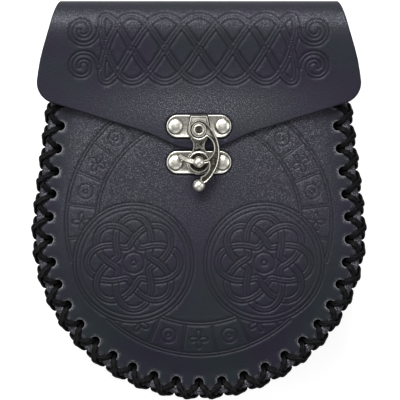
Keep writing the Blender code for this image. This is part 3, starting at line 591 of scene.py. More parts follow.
def fill_middle(bm, edges):
    """Close a flat loop of edges with rings of narrow faces along it and an even grid inside."""
    middle = bmesh.ops.edgeloop_fill(bm, edges=edges)["faces"][0]
    middle.normal_update()
    width = 0.0
    for ring in (*ROUNDING_RINGS, GRID_MARGIN):
        bmesh.ops.inset_region(
            bm, faces=[middle], thickness=ring - width, use_boundary=True, use_even_offset=True
        )
        width = ring
    rim = list(middle.edges)
    loop = [tuple(vert.co.xy) for vert in middle.verts]
    bmesh.ops.delete(bm, geom=[middle], context="FACES_ONLY")

    low = Vector(np.min(loop, axis=0))
    high = Vector(np.max(loop, axis=0))
    counts = [max(2, round((high[axis] - low[axis]) / GRID_STEP)) for axis in (0, 1)]
    known = len(bm.verts)
    bmesh.ops.create_grid(
        bm,
        x_segments=counts[0],
        y_segments=counts[1],
        size=0.5,
        matrix=Matrix.Translation(((low + high) / 2).to_3d()) @ Matrix.Diagonal((*(high - low), 1, 1)),
    )
    bm.verts.ensure_lookup_table()
    grid = bm.verts[known:]
    inside = distance_inside(np.array([vert.co.xy for vert in grid]), loop)
    outside = [vert for vert, depth in zip(grid, inside) if depth < 0.6 * GRID_STEP]
    bmesh.ops.delete(bm, geom=outside, context="VERTS")
    bm.verts.ensure_lookup_table()
    inner = [edge for vert in bm.verts[known:] for edge in vert.link_edges if edge.is_boundary]
    bmesh.ops.triangle_fill(bm, use_beauty=True, edges=list(set(rim + inner)), normal=(0, 0, 1))
    bmesh.ops.recalc_face_normals(bm, faces=bm.faces)
    if sum(face.normal.z * face.calc_area() for face in bm.faces) < 0:
        bmesh.ops.reverse_faces(bm, faces=bm.faces)


def close_line(bm, points):
    """Join points, given as places or as vertices, with edges."""
    known = bmesh.types.BMVert
    verts = [point if isinstance(point, known) else bm.verts.new((*point, 0)) for point in points]
    return [bm.edges.get(pair) or bm.edges.new(pair) for pair in zip(verts, verts[1:])]


def at_top(vert):
    return abs(vert.co.y - BODY_TOP) < 2 * MERGE


def border_in_place():
    """The border strip laid round a panel and cut level at the top, and the edges of its inner side."""
    bm = hole_strip(border_cell)
    for vert in bm.verts:
        x, y = edge_place(vert.co.x, vert.co.y)
        vert.co = (float(x), float(y), 0)
    cut_across(bm, (0, BODY_TOP, 0), (0, 1, 0), drop=True)
    inner = []
    for edge in bm.edges:
        if edge.is_boundary and not all(at_top(vert) for vert in edge.verts):
            insets = [float(edge_measure(vert.co.x, vert.co.y)[1]) for vert in edge.verts]
            if min(insets) > 2 * HOLE_INSET - 0.3 * MM:
                inner.append(edge)
    return bm, inner


def front_panel_flat():
    bm, inner = border_in_place()
    ends = [vert for edge in inner for vert in edge.verts if at_top(vert)]
    left, right = sorted(ends, key=lambda vert: vert.co.x)
    top = spaced([right.co.xy, left.co.xy], GRID_STEP)[1:-1]
    fill_middle(bm, inner + close_line(bm, [right] + top + [left]))
    return bm


panel_flat = front_panel_flat()
open_edges = [edge for edge in panel_flat.edges if edge.is_boundary]
print("front panel, flat:", len(panel_flat.faces), "faces;", len(open_edges), "edges are open")

# %% [markdown]
# Thickness, and leather that gives way to the cord
#
# A sheet gets its flesh side as a second copy, turned over, and its cut edges by drawing the rim down to it.
# Only the outer side is divided more finely, where lines are tooled. The pull of the cord is modelled too:
# each strand lies in a furrow, the leather swells into a tab between strands, and its edge is drawn in where
# two strands cross.

# %% From a flat sheet to a piece
ROUND_DEPTH = 0.34 * MM
FURROW_DEPTH = 0.45 * MM
FURROW_WIDTH = 1.35 * MM
TAB_SWELL = 0.42 * MM
EDGE_PULL = 1.15 * MM
EDGE_ROLL = 0.5 * MM
FLESH_ROUNDING = 0.6
DYED_WIDTH = 0.5 * MM
DYED_REACH = 0.7 * MM


def add_flesh_side(bm, refine=None):
    """Make the open flat sheet at height 0 a closed one, as thick as the leather."""
    geometry = bm.verts[:] + bm.edges[:] + bm.faces[:]
    copied = bmesh.ops.duplicate(bm, geom=geometry)["geom"]
    bmesh.ops.translate(bm, verts=only(bmesh.types.BMVert, copied), vec=(0, 0, -LEATHER))
    bmesh.ops.reverse_faces(bm, faces=only(bmesh.types.BMFace, copied))
    if refine:
        refine(bm)
    rim = [edge for edge in bm.edges if edge.is_boundary and edge.verts[0].co.z > -LEATHER / 2]
    grown = only(bmesh.types.BMVert, bmesh.ops.extrude_edge_only(bm, edges=rim)["geom"])
    bmesh.ops.translate(bm, verts=grown, vec=(0, 0, -LEATHER))
    bmesh.ops.remove_doubles(bm, verts=[vert for vert in bm.verts if vert.is_boundary], dist=MERGE)
    bmesh.ops.recalc_face_normals(bm, faces=bm.faces)


def to_arrays(name, bm):
    """The sheet as a mesh, with its points as an array."""
    mesh = to_mesh(name, bm)
    points = np.empty(len(mesh.vertices) * 3)
    mesh.vertices.foreach_get("co", points)
    return mesh, points.reshape(-1, 3)


def add_piece(mesh, points, slot, body, *replaced, **marks):
    """Move a mesh's points, give it its finish and marks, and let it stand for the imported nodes."""
    if points is not None:
        mesh.vertices.foreach_set("co", np.asarray(points, float).ravel())
    for name, values in marks.items():
        mark = mesh.attributes.new(name, "FLOAT", "POINT")
        mark.data.foreach_set("value", np.asarray(values, float))
    mesh.shade_smooth()
    mesh.materials.append(FINISHES[slot])
    mesh.update()
    obj = add_object(mesh.name, mesh)
    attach(obj, body)
    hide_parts(*replaced)
    triangles = sum(len(face.vertices) - 2 for face in mesh.polygons)
    print(f"{obj.name}: {triangles} triangles")
    return obj


def rounding(distance):
    """How far a surface falls away next to a cut edge."""
    return ROUND_DEPTH * np.clip(1 - distance / ROUNDING_RINGS[-1], 0, 1) ** 2


def hole_distance(along, inset, hole_inset):
    """Distance to the edge of the nearest hole."""
    nearest = np.clip(np.round(along / PITCH), -STITCHES / 2, STITCHES / 2) * PITCH
    return np.maximum(np.hypot(along - nearest, inset - hole_inset) - HOLE_RADIUS, 0)


def rim_distance(along, inset, edge_distance, hole_inset):
    """Distance to the nearest cut edge, be it the outline's or a hole's."""
    return np.minimum(np.maximum(edge_distance, 0), hole_distance(along, inset, hole_inset))


def dyed_edge(rim):
    """How much edge dye there is at a distance from a cut edge."""
    return bell(rim / DYED_WIDTH) * (rim < DYED_REACH)


def cord_give(along, inset, hole_inset):
    """Height that the cord's pull adds at a point, and how far it draws the point in from the edge."""
    share = np.abs(along / PITCH - np.round(along / PITCH))
    laced = smooth_step((ROW_END + 0.5 * PITCH - np.abs(along)) / (0.4 * PITCH))
    reach = hole_inset - HOLE_RADIUS * 0.4
    strand = 0.5 - 0.40 * np.clip(inset / reach, 0, 1)
    across = (share - strand) * PITCH * 0.74
    over = smooth_step((reach + 1.2 * MM - inset) / (1.6 * MM))
    furrow = -FURROW_DEPTH * bell(across / FURROW_WIDTH) * over
    tab = smooth_step(across / (1.8 * MM)) * smooth_step(inset / (2.6 * MM))
    tab = TAB_SWELL * tab * smooth_step((hole_inset + 6 * MM - inset) / (6 * MM))
    roll = -EDGE_ROLL * np.clip(1 - inset / (2.4 * MM), 0, 1) ** 2
    crossing = (0.5 - 0.5 * np.cos(2 * pi * along / PITCH)) ** 2
    pull = EDGE_PULL * crossing * bell(inset / (2.6 * MM))
    return (furrow + tab + roll) * laced, pull * laced * (np.abs(along) < ROW_END)


# %% [markdown]
# Tooling
#
# Damp leather keeps the mark of a blunt blade. Each mark here is a line or a band: a band is two grooves with
# the leather between them pressed up, and often a lighter groove along its middle. A band is kept as samples
# along its middle, each with its direction and its level. Where a band crosses itself it goes over and under
# in turn, which is what makes a flat line look plaited.

# %% Lines and bands
# Sizes of a groove, of the lip outside it and of the raised middle of a band
SAMPLE_STEP = 0.6 * MM
GROOVE_DEPTH = 0.52 * MM
GROOVE_WIDTH = 0.34 * MM
LIP_HEIGHT = 0.13 * MM
LIP_PLACE = 0.85 * MM
LIP_WIDTH = 0.45 * MM
BAND_LIFT = 0.14 * MM
BAND_SHOULDER = 0.7 * MM
BROAD_BAND = 1.2 * MM
COVER_MARGIN = 0.45 * MM
PRESS_REACH = 1.6 * MM
REFINE_MARGINS = (1.5 * MM, 0.75 * MM)
# Samples of one band that are closer in number than this belong to the same stretch of it.
STRETCH = 14


class Tooling:
    """Marks to be pressed into one sheet, looked up by place."""

    def __init__(self):
        self.rows = []
        self.bands = []

    def mark(self, x, y, half_width=0.0, strength=1.0, middle=0.0, closed=False, plaited=False, keep=None):
        """Add a band along a path; keep says which of its samples stay, where another mark covers it."""
        path = np.column_stack((x, y))
        if closed:
            path = np.vstack((path, path[:1]))
        travelled = np.concatenate(([0], np.cumsum(np.linalg.norm(np.diff(path, axis=0), axis=1))))
        count = max(3, int(travelled[-1] / SAMPLE_STEP))
        places = np.linspace(0, travelled[-1], count, endpoint=not closed)
        spots = np.column_stack([np.interp(places, travelled, path[:, axis]) for axis in (0, 1)])
        if closed:
            ways = np.roll(spots, -1, axis=0) - np.roll(spots, 1, axis=0)
        else:
            ways = np.gradient(spots, axis=0)
        ways /= np.linalg.norm(ways, axis=1)[:, None]
        levels = plait_levels(spots) if plaited else np.zeros(count)
        number = len(self.bands)
        self.bands.append((half_width, strength, middle, count if closed else 0))
        for index, (spot, way, level) in enumerate(zip(spots, ways, levels)):
            if keep is None or keep(*spot):
                self.rows.append((*spot, *way, level, number, index))

    def ready(self):
        self.tree = KDTree(len(self.rows))
        for index, row in enumerate(self.rows):
            self.tree.insert((row[0], row[1], 0), index)
        self.tree.balance()
        self.reach = max(band[0] for band in self.bands) + PRESS_REACH

    def branches(self, x, y):
        """The stretches of band that pass near a point: each one's distance from its middle, and its row."""
        found = {}
        for spot, index, gap in self.tree.find_range((x, y, 0), self.reach):
            row = self.rows[index]
            around = self.bands[row[5]][3]
            for key, (nearest, _) in found.items():
                apart = abs(key[1] - row[6])
                if key[0] == row[5] and min(apart, around - apart if around else apart) < STRETCH:
                    if gap < nearest:
                        found[key] = (gap, row)
                    break
            else:
                found[(row[5], row[6])] = (gap, row)
        passing = []
        for gap, row in found.values():
            aside = abs((x - row[0]) * row[3] - (y - row[1]) * row[2])
            ahead = abs((x - row[0]) * row[2] + (y - row[1]) * row[3])
            passing.append((aside if ahead < SAMPLE_STEP else gap, row))
        return passing

    def press(self, x, y):
        """Height and groove strength at one point."""
        passing = self.branches(x, y)
        if not passing:
            return 0.0, 0.0
        covering = [item for item in passing if item[0] < self.bands[item[1][5]][0] + COVER_MARGIN]
        if covering:
            distance, row = max(covering, key=lambda item: (item[1][4], -item[0]))
        else:
            distance, row = min(passing, key=lambda item: item[0] - self.bands[item[1][5]][0])
        half_width, strength, middle, _ = self.bands[row[5]]
        across = distance - half_width
        groove = max(bell(across / GROOVE_WIDTH), middle * bell(distance / GROOVE_WIDTH))
        lip = LIP_HEIGHT * bell((across - LIP_PLACE) / LIP_WIDTH)
        body = 0.0
        if half_width > BROAD_BAND and across < 0:
            body = BAND_LIFT * min(1.0, -across / BAND_SHOULDER)
        return float(strength * (lip + body - GROOVE_DEPTH * groove)), float(strength * groove)

    def near_groove(self, x, y, margin):
        for distance, row in self.branches(x, y):
            half_width, _, middle, _ = self.bands[row[5]]
            if abs(distance - half_width) < margin or (middle and distance < margin):
                return True
        return False


def plait_levels(spots):
    """Levels of 1 and -1 in turn at the places where a closed path of samples crosses itself."""
    ends = np.roll(spots, -1, axis=0)
    ways = ends - spots
    first, second = np.triu_indices(len(spots), 3)
    between = spots[second] - spots[first]
    cross = ways[first, 0] * ways[second, 1] - ways[first, 1] * ways[second, 0]
    cross = np.where(np.abs(cross) < 1e-12, np.inf, cross)
    here = (between[:, 0] * ways[second, 1] - between[:, 1] * ways[second, 0]) / cross
    there = (between[:, 0] * ways[first, 1] - between[:, 1] * ways[first, 0]) / cross
    hit = (here >= 0) & (here < 1) & (there >= 0) & (there < 1)
    visits = np.sort(np.concatenate((first[hit] + here[hit], second[hit] + there[hit])))
    samples = np.arange(len(spots))
    apart = np.abs(samples[:, None] - visits[None, :])
    nearest = np.argmin(np.minimum(apart, len(spots) - apart), axis=1)
    return np.where(nearest % 2 == 0, 1.0, -1.0)


def round_turn(count, turns=1):
    """Angles of a path that closes after some turns."""
    return np.linspace(0, 2 * pi * turns, count, endpoint=False)


def circle(centre, radius, points):
    turn = round_turn(points)
    return centre[0] + radius * np.cos(turn), centre[1] + radius * np.sin(turn)


def refine_along(tooling):
    """A step that divides the outer side's edges in passes, each within its own margin of a groove."""
    def refine(bm):
        for margin in REFINE_MARGINS:
            chosen = []
            for edge in bm.edges:
                middle = (edge.verts[0].co + edge.verts[1].co) / 2
                if middle.z > -LEATHER / 2 and not edge.is_boundary:
                    if tooling.near_groove(middle.x, middle.y, margin):
                        chosen.append(edge)
            bmesh.ops.subdivide_edges(bm, edges=chosen, cuts=1, use_grid_fill=True)
    return refine


def press_all(tooling, x, y, outer):
    """Height and groove strength of all points of a sheet; only its outer side is tooled."""
    height, groove = np.zeros(len(x)), np.zeros(len(x))
    for index in np.flatnonzero(outer):
        height[index], groove[index] = tooling.press(x[index], y[index])
    return height, groove


print("tooling ready")

# %% [markdown]
# The front's pattern
#
# A broad ring fills the round front. Short double lines divide it into cells, each with a rosette or with a
# ring and dot. Two round medallions lie over it, side by side. Each holds a plait that runs three times round
# its boss with eight bights: a radius that swings as a cosine while the path goes round closes by itself.

# %% Pattern of the front
RING_CENTRE = (0.0, 5.0 * MM)
RING_INNER = 51.0 * MM
RING_OUTER = 66.3 * MM
RING_CELLS = 24
MEDALLION_X = 32.6 * MM
MEDALLION_Y = -15.5 * MM
MEDALLION_RADIUS = 29.4 * MM
PLAIT_TURNS = 3
PLAIT_BIGHTS = 8
PLAIT_RADIUS = 15.8 * MM
PLAIT_SWING = 7.4 * MM
PETAL_LENGTH = 4.6 * MM


def outside_medallions(x, y):
    return hypot(abs(x) - MEDALLION_X, y - MEDALLION_Y) > MEDALLION_RADIUS + 1.2 * MM


def add_ring(tooling):
    light = {"strength": 0.8, "keep": outside_medallions}
    for radius in (RING_INNER, RING_OUTER):
        path = circle(RING_CENTRE, radius, 400)
        tooling.mark(*path, half_width=0.75 * MM, closed=True, keep=outside_medallions)
    for cell in range(RING_CELLS):
        angle = 2 * pi * (cell + 0.5) / RING_CELLS
        reach = np.linspace(RING_INNER + 1.4 * MM, RING_OUTER - 1.4 * MM, 30)
        x, y = RING_CENTRE[0] + reach * cos(angle), RING_CENTRE[1] + reach * sin(angle)
        tooling.mark(x, y, half_width=0.6 * MM, **light)
        angle = 2 * pi * cell / RING_CELLS
        middle = (RING_INNER + RING_OUTER) / 2
        spot = (RING_CENTRE[0] + middle * cos(angle), RING_CENTRE[1] + middle * sin(angle))
        if cell % 2:
            tooling.mark(*circle(spot, 3.7 * MM, 60), closed=True, **light)
            tooling.mark(*circle(spot, 1.1 * MM, 30), closed=True, **light)
        else:
            turn = round_turn(160)
            petal = PETAL_LENGTH * np.cos(2 * turn)
            x, y = petal * np.cos(turn + angle), petal * np.sin(turn + angle)
            tooling.mark(spot[0] + x, spot[1] + y, closed=True, **light)


def add_medallion(tooling, side):
    centre = (side * MEDALLION_X, MEDALLION_Y)
    tooling.mark(*circle(centre, MEDALLION_RADIUS, 300), half_width=0.8 * MM, closed=True)
    tooling.mark(*circle(centre, MEDALLION_RADIUS - 3.0 * MM, 300), strength=0.7, closed=True)
    turn = round_turn(1600, PLAIT_TURNS)
    radius = PLAIT_RADIUS + PLAIT_SWING * np.cos(PLAIT_BIGHTS * turn / PLAIT_TURNS)
    x, y = centre[0] + side * radius * np.cos(turn), centre[1] + radius * np.sin(turn)
    tooling.mark(x, y, half_width=1.55 * MM, middle=0.55, closed=True, plaited=True)
    tooling.mark(*circle(centre, 5.2 * MM, 80), strength=0.9, closed=True)
    tooling.mark(*circle(centre, 1.3 * MM, 30), strength=0.9, closed=True)


def add_plate_dent_and_shadow(tooling, level):
    """A dent that the clasp plate has pressed just outside its edge, darkened as the plate's painted shadow on
    the leather.
    """
    turn = round_turn(200)
    radius = PLATE_WIDTH / 2 + 0.3 * MM
    x = np.sign(np.cos(turn)) * (PLATE_LENGTH - PLATE_WIDTH) / 2 + radius * np.cos(turn)
    tooling.mark(x, level + radius * np.sin(turn), strength=1.2, closed=True)


front_tooling = Tooling()
add_ring(front_tooling)
for side in (-1, 1):
    add_medallion(front_tooling, side)
lower_low, lower_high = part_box("clasp_lower_plate")
# The lower plate's dent and painted shadow.
add_plate_dent_and_shadow(front_tooling, (lower_low.y + lower_high.y) / 2 - CENTRE.y)
knob_spot = (0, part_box("clasp_hook")[0].y + KNOB_RADIUS - CENTRE.y)
# A faint dark ring under the knob: a dent, darkened as the knob's painted shadow.
front_tooling.mark(*circle(knob_spot, 3.3 * MM, 60), strength=0.5, closed=True)
front_tooling.ready()
print("front pattern:", len(front_tooling.bands), "marks,", len(front_tooling.rows), "samples")

# %% [markdown]
# The front panel
#
# It is one sheet that was damped and stretched over a form, so it rises from its laced edge to a flat middle.
# In the flat it gets everything a maker would do before lacing; the crown then lifts the whole sheet.

# %% Front panel
# Width of the pale ring painted as a highlight round each hole's rim.
RIM_HIGHLIGHT_WIDTH = 0.6 * MM
WAVE_HEIGHT = 0.12 * MM


def crown(inset, y):
    """Height of the stretched front above its laced edge."""
    depth = np.minimum(inset, BODY_TOP - y)
    return CROWN_HEIGHT * smooth_step(np.clip(depth / CROWN_INSET, 0, 1) ** 1.1)


def undulation(x, y):
    """Slow, shallow waves, as in any hide."""
    return WAVE_HEIGHT * (np.sin(x * 61 + 1.3) * np.sin(y * 47 + 0.4) + 0.6 * np.sin(x * 113 - y * 71 + 2.1))


def shape_front_panel(bm):
    mesh, points = to_arrays("front_panel_leather", bm)
    x, y, level = points.T
    outer = level > -LEATHER / 2
    along, inset = edge_measure(x, y)
    give, pull = cord_give(along, inset, HOLE_INSET)
    rim = rim_distance(along, inset, np.minimum(inset, BODY_TOP - y), HOLE_INSET)
    still = smooth_step((inset - 14 * MM) / (20 * MM))
    pressed, groove = press_all(front_tooling, x, y, outer)
    height = FRONT_EDGE + crown(inset, y) + undulation(x, y) * still + pressed
    height += np.where(outer, give - rounding(rim), 0.5 * give - LEATHER + FLESH_ROUNDING * rounding(rim))
    placed = in_frame(*edge_place(along, inset + pull), height)
    # A pale ring round each hole, left without edge dye: a painted highlight on the holes' rounded rims.
    rim_highlight = bell(hole_distance(along, inset, HOLE_INSET) / RIM_HIGHLIGHT_WIDTH)
    marks = {"dyed_edge": dyed_edge(rim) * (1 - rim_highlight), "groove": groove}
    # Lighter across the middle of the front, as wear and as painted sheen.
    wear_and_glint = 0.62 * bell((y - 25 * MM) / (40 * MM)) + 0.38 * bell((y - 52 * MM) / (18 * MM))
    # Less lightening under the knob, as its painted shadow.
    wear_and_glint *= smooth_step(inset / (20 * MM)) * (1 - bell(np.hypot(x, y - knob_spot[1]) / (5 * MM)))
    # Lighter on the tabs by the laced edge, and lightest on the holes' rims: both painted highlights.
    marks["wear_and_sheen"] = outer * (wear_and_glint + 1.2 * bell((inset - 2.0 * MM) / (2.4 * MM)) + 2.5 * rim_highlight)
    return add_piece(mesh, placed, "leather", "bag", "front_panel", **marks)


add_flesh_side(panel_flat, refine_along(front_tooling))
shape_front_panel(panel_flat)

# %% [markdown]
# Back and flap in one
#
# The back panel runs on over the top of the bag and down the front as the flap, so it is cut in one piece.
# Its outline is drawn flat, with the way along the leather as y, and the finished sheet is folded round two
# bends.

# %% The outline of the back and flap
BACK_BEND_RADIUS = 9.0 * MM
FRONT_BEND_RADIUS = 14.0 * MM
FLAP_WIDTH = 164.0 * MM
FLAP_LENGTH = 74.8 * MM
# Each corner: share of the half width, share of the length below the bag's top, and rounding radius as a
# share of the half width.
FLAP_CORNERS = (
    (0.970, 0.398, 0.98),
    (1.000, 0.652, 0.13),
    (0.305, 0.890, 0.73),
    (0.000, 1.056, 0.44),
)
FLARE_RADIUS = 60.0 * MM
ROUNDED_SHARE = 0.98
ROUNDING_STEP = radians(4.0)

BACK_TURN = BACK_BEND_RADIUS - LEATHER / 2
FRONT_TURN = FRONT_BEND_RADIUS - LEATHER / 2
BACK_BEND_START = BAG_TOP - BACK_BEND_RADIUS
BACK_BEND_END = BACK_BEND_START + BACK_TURN * pi / 2
FRONT_BEND_START = BACK_BEND_END + FLAP_OUTER - BACK_OUTER - BACK_BEND_RADIUS - FRONT_BEND_RADIUS
FRONT_BEND_END = FRONT_BEND_START + FRONT_TURN * pi / 2


def flat_distance(y):
    """Distance along the leather of a point of the flap that lies y above the round bottom's centre."""
    return FRONT_BEND_END + BAG_TOP - FRONT_BEND_RADIUS - y


def rounded(corners):
    """Points of a closed outline from its corners, each given as x, y and rounding radius."""
    places = [Vector(corner[:2]) for corner in corners]
    edges = [places[(index + 1) % len(places)] - place for index, place in enumerate(places)]
    turns = [atan2(edges[i - 1].cross(edge), edges[i - 1].dot(edge)) for i, edge in enumerate(edges)]
    reaches = [corner[2] * abs(tan(turn / 2)) for corner, turn in zip(corners, turns)]
    fits = []
    for index, edge in enumerate(edges):
        needed = reaches[index] + reaches[(index + 1) % len(reaches)]
        fits.append(min(1, ROUNDED_SHARE * edge.length / needed) if needed > 0 else 1)
    points = []
    for index, (place, turn) in enumerate(zip(places, turns)):
        radius = corners[index][2] * min(fits[index - 1], fits[index])
        if radius == 0:
            points.append(place)
            continue
        before = edges[index - 1].normalized()
        start = place - before * radius * abs(tan(turn / 2))
        centre = start + Vector((-before.y, before.x)) * (radius if turn > 0 else -radius)
        steps = max(2, round(abs(turn) / ROUNDING_STEP))
        for step in range(steps + 1):
            points.append(centre + Matrix.Rotation(turn * step / steps, 2) @ (start - centre))
    return points


def side_half_width(y):
    return (EDGE_RADIUS - y * sin(SIDE_LEAN)) / cos(SIDE_LEAN)


def flap_outline():
    """The flat leather above the lacing, from the right side round the flap to the left side."""
    half_width = side_half_width(BACK_BEND_START)
    right = [
        (side_half_width(BODY_TOP), BODY_TOP, 0),
        (half_width, BACK_BEND_START, 0),
        (half_width, FRONT_BEND_START, FLARE_RADIUS),
    ]
    for width_share, length_share, radius_share in FLAP_CORNERS:
        distance = flat_distance(BAG_TOP - length_share * FLAP_LENGTH)
        right.append((width_share * FLAP_WIDTH / 2, distance, radius_share * FLAP_WIDTH / 2))
    tip = right.pop()
    left = [(-x, distance, radius) for x, distance, radius in reversed(right)]
    return rounded(right + [tip] + left)


flap_edge = flap_outline()
print(f"flap outline: {len(flap_edge)} points, {max(p.y for p in flap_edge) / MM:.1f} mm along the leather")

# %% [markdown]
# The flap's pattern
#
# A long plait runs across the flap, from just behind the fold's crest to the middle of its front. It is one
# path that goes twice across while it swings seven times up and down, so it closes on itself and crosses
# itself nineteen times. Two small scrolls finish each end.

# %% Pattern of the flap
PLAIT_CENTRE = FRONT_BEND_END + 10.5 * MM
PLAIT_REACH = 48.5 * MM
PLAIT_HEIGHT = 16.6 * MM
PLAIT_SHARPNESS = 0.92
SCROLL_TURNS = 1.45


def add_scroll(tooling, side, up):
    """A scroll that springs from beside the plait's end and curls in on itself."""
    turn = np.linspace(-0.4, 2 * pi * SCROLL_TURNS, 160)
    radius = np.linspace(8.0, 1.7, 160) * MM
    x = side * (PLAIT_REACH + 9.6 * MM + radius * np.cos(turn - 0.9 * pi))
    y = PLAIT_CENTRE + up * (9.0 * MM + radius * np.sin(turn - 0.9 * pi))
    tooling.mark(x, y, half_width=0.9 * MM)


flap_tooling = Tooling()
swing = round_turn(2400)
flap_tooling.mark(
    PLAIT_REACH * np.arcsin(PLAIT_SHARPNESS * np.sin(2 * swing)) / np.arcsin(PLAIT_SHARPNESS),
    PLAIT_CENTRE + PLAIT_HEIGHT * np.sin(7 * swing),
    half_width=1.75 * MM,
    middle=0.6,
    closed=True,
    plaited=True,
)
for side, up in ((-1, -1), (-1, 1), (1, -1), (1, 1)):
    add_scroll(flap_tooling, side, up)
upper_low, upper_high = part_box("clasp_upper_plate")
# The upper plate's dent and painted shadow.
add_plate_dent_and_shadow(flap_tooling, flat_distance(upper_high.y - PLATE_WIDTH / 2 - CENTRE.y))
flap_tooling.ready()
print("flap pattern:", len(flap_tooling.rows), "samples")

# %% [markdown]
# Folding
#
# The fold is a path in Y and Z: up the back, round a tight bend, across the top, round a wider bend and down
# the flap. Every point of the flat sheet goes to its place on that path and out along the path's own outward
# direction, so the leather keeps its thickness in the bends.

# %% Back and flap
def fold(distance, height):
    """Y and Z of a point at a distance along the leather's middle and a height outwards from it."""
    back = np.clip((distance - BACK_BEND_START) / BACK_TURN, 0, pi / 2)
    front = np.clip((distance - FRONT_BEND_START) / FRONT_TURN, 0, pi / 2)
    turn = back + front
    y = np.minimum(distance, BACK_BEND_START) + BACK_TURN * np.sin(back)
    y -= FRONT_TURN * (1 - np.cos(front)) + np.maximum(distance - FRONT_BEND_END, 0)
    z = BACK_OUTER + LEATHER / 2 + BACK_TURN * (1 - np.cos(back)) + FRONT_TURN * np.sin(front)
    z += np.clip(distance - BACK_BEND_END, 0, FRONT_BEND_START - BACK_BEND_END)
    return y + height * np.sin(turn), z - height * np.cos(turn)


def back_and_flap_flat():
    bm, inner = border_in_place()
    level = [edge for edge in bm.edges if edge.is_boundary and all(at_top(vert) for vert in edge.verts)]
    corners = sorted({vert for edge in level for vert in edge.verts}, key=lambda vert: vert.co.x)
    line = spaced(flap_edge, GRID_STEP)[1:-1]
    fill_middle(bm, inner + level + close_line(bm, [corners[-1]] + line + [corners[0]]))
    return bm


def shape_back_and_flap(bm):
    mesh, points = to_arrays("back_and_flap_leather", bm)
    x, distance, z = points.T
    outer = z > -LEATHER / 2
    along, inset = edge_measure(x, np.minimum(distance, BODY_TOP))
    on_back = smooth_step((BODY_TOP + 4 * MM - distance) / (8 * MM))
    give, pull = cord_give(along, inset, HOLE_INSET)
    give, pull = give * on_back, pull * on_back
    outline = [tuple(point.xy) for point in spaced(flap_edge, 6 * MM)]
    bottom = np.column_stack(edge_place(np.linspace(-ROW_END, ROW_END, 120), 0))
    loop = outline + [tuple(point) for point in bottom]
    edge_distance = distance_inside(np.column_stack((x, distance)), loop)
    rim = rim_distance(along, inset, edge_distance, HOLE_INSET)
    rim = np.where(distance > BODY_TOP, np.maximum(edge_distance, 0), rim)
    pressed, groove = press_all(flap_tooling, x, distance, outer)
    flesh = 0.5 * give - LEATHER / 2 + FLESH_ROUNDING * rounding(rim)
    height = pressed + np.where(outer, LEATHER / 2 + give - rounding(rim), flesh)
    pulled = edge_place(along, inset + pull)
    x = np.where(distance < BODY_TOP, pulled[0], x)
    y, z = fold(np.where(distance < BODY_TOP, pulled[1], distance), height)
    marks = {"dyed_edge": dyed_edge(rim), "groove": groove}
    # Lighter and speckled low in the middle of the flap, as wear and as painted glints; lighter on the front
    # bend, as a painted highlight where the bend turns to the light.
    low_flap = bell((distance - flat_distance(62 * MM)) / (15 * MM)) * bell(x / (55 * MM))
    marks["wear_and_sheen"] = outer * (low_flap + 0.80 * bell((distance - FRONT_BEND_END + 4 * MM) / (7 * MM)))
    return add_piece(mesh, in_frame(x, y, z), "leather", "bag", "back_and_flap", **marks)


fold_flat = back_and_flap_flat()
add_flesh_side(fold_flat, refine_along(flap_tooling))
shape_back_and_flap(fold_flat)

# %% [markdown]
# The gusset
#
# One strip of leather makes the bag's sides and bottom. It has a row of holes along each edge, opposite the
# panels' holes. Two border strips lie back to back and the plain leather between them is drawn from one to
# the other. The strip sags inwards a little between its laced edges, by an amount that rises and falls along it.

# %% Gusset
STRIP_WIDTH = strip_high.z - strip_low.z
STRIP_HOLE_INSET = strip_high.z - FRONT_EDGE + HOLE_INSET
STRIP_CELL_INNER = HOLE_RADIUS + 2 * MM
STRIP_ROWS = 12
STRIP_SAG = 1.6 * MM


def gusset_flat():
    """The strip in the flat: x along the lacing, y up from its back edge to its front edge."""
    cell = hole_cell(HOLE_RADIUS, STRIP_HOLE_INSET, STRIP_CELL_INNER)
    bm = hole_strip(cell)
    border = STRIP_HOLE_INSET + STRIP_CELL_INNER
    rim = [edge for edge in bm.edges if all(abs(v.co.y - border) < MERGE for v in edge.verts)]
    rise = (STRIP_WIDTH - 2 * border) / STRIP_ROWS
    for _ in range(STRIP_ROWS):
        grown = bmesh.ops.extrude_edge_only(bm, edges=rim)["geom"]
        moved = set(only(bmesh.types.BMVert, grown))
        bmesh.ops.translate(bm, verts=list(moved), vec=(0, rise, 0))
        rim = [edge for edge in only(bmesh.types.BMEdge, grown) if moved.issuperset(edge.verts)]
    far = hole_strip(cell)
    bmesh.ops.scale(far, verts=far.verts, vec=(1, -1, 1))
    bmesh.ops.translate(far, verts=far.verts, vec=(0, STRIP_WIDTH, 0))
    bmesh.ops.reverse_faces(far, faces=far.faces)
    bm.from_mesh(to_mesh("far_row", far))
    bmesh.ops.remove_doubles(bm, verts=bm.verts, dist=MERGE)
    for side in (-1, 1):
        cut_across(bm, (side * (ROW_END + MOUTH_MARGIN), 0, 0), (side, 0, 0), drop=True)
    bmesh.ops.recalc_face_normals(bm, faces=bm.faces)
    if bm.faces[0].normal.z < 0:
        bmesh.ops.reverse_faces(bm, faces=bm.faces)
    return bm


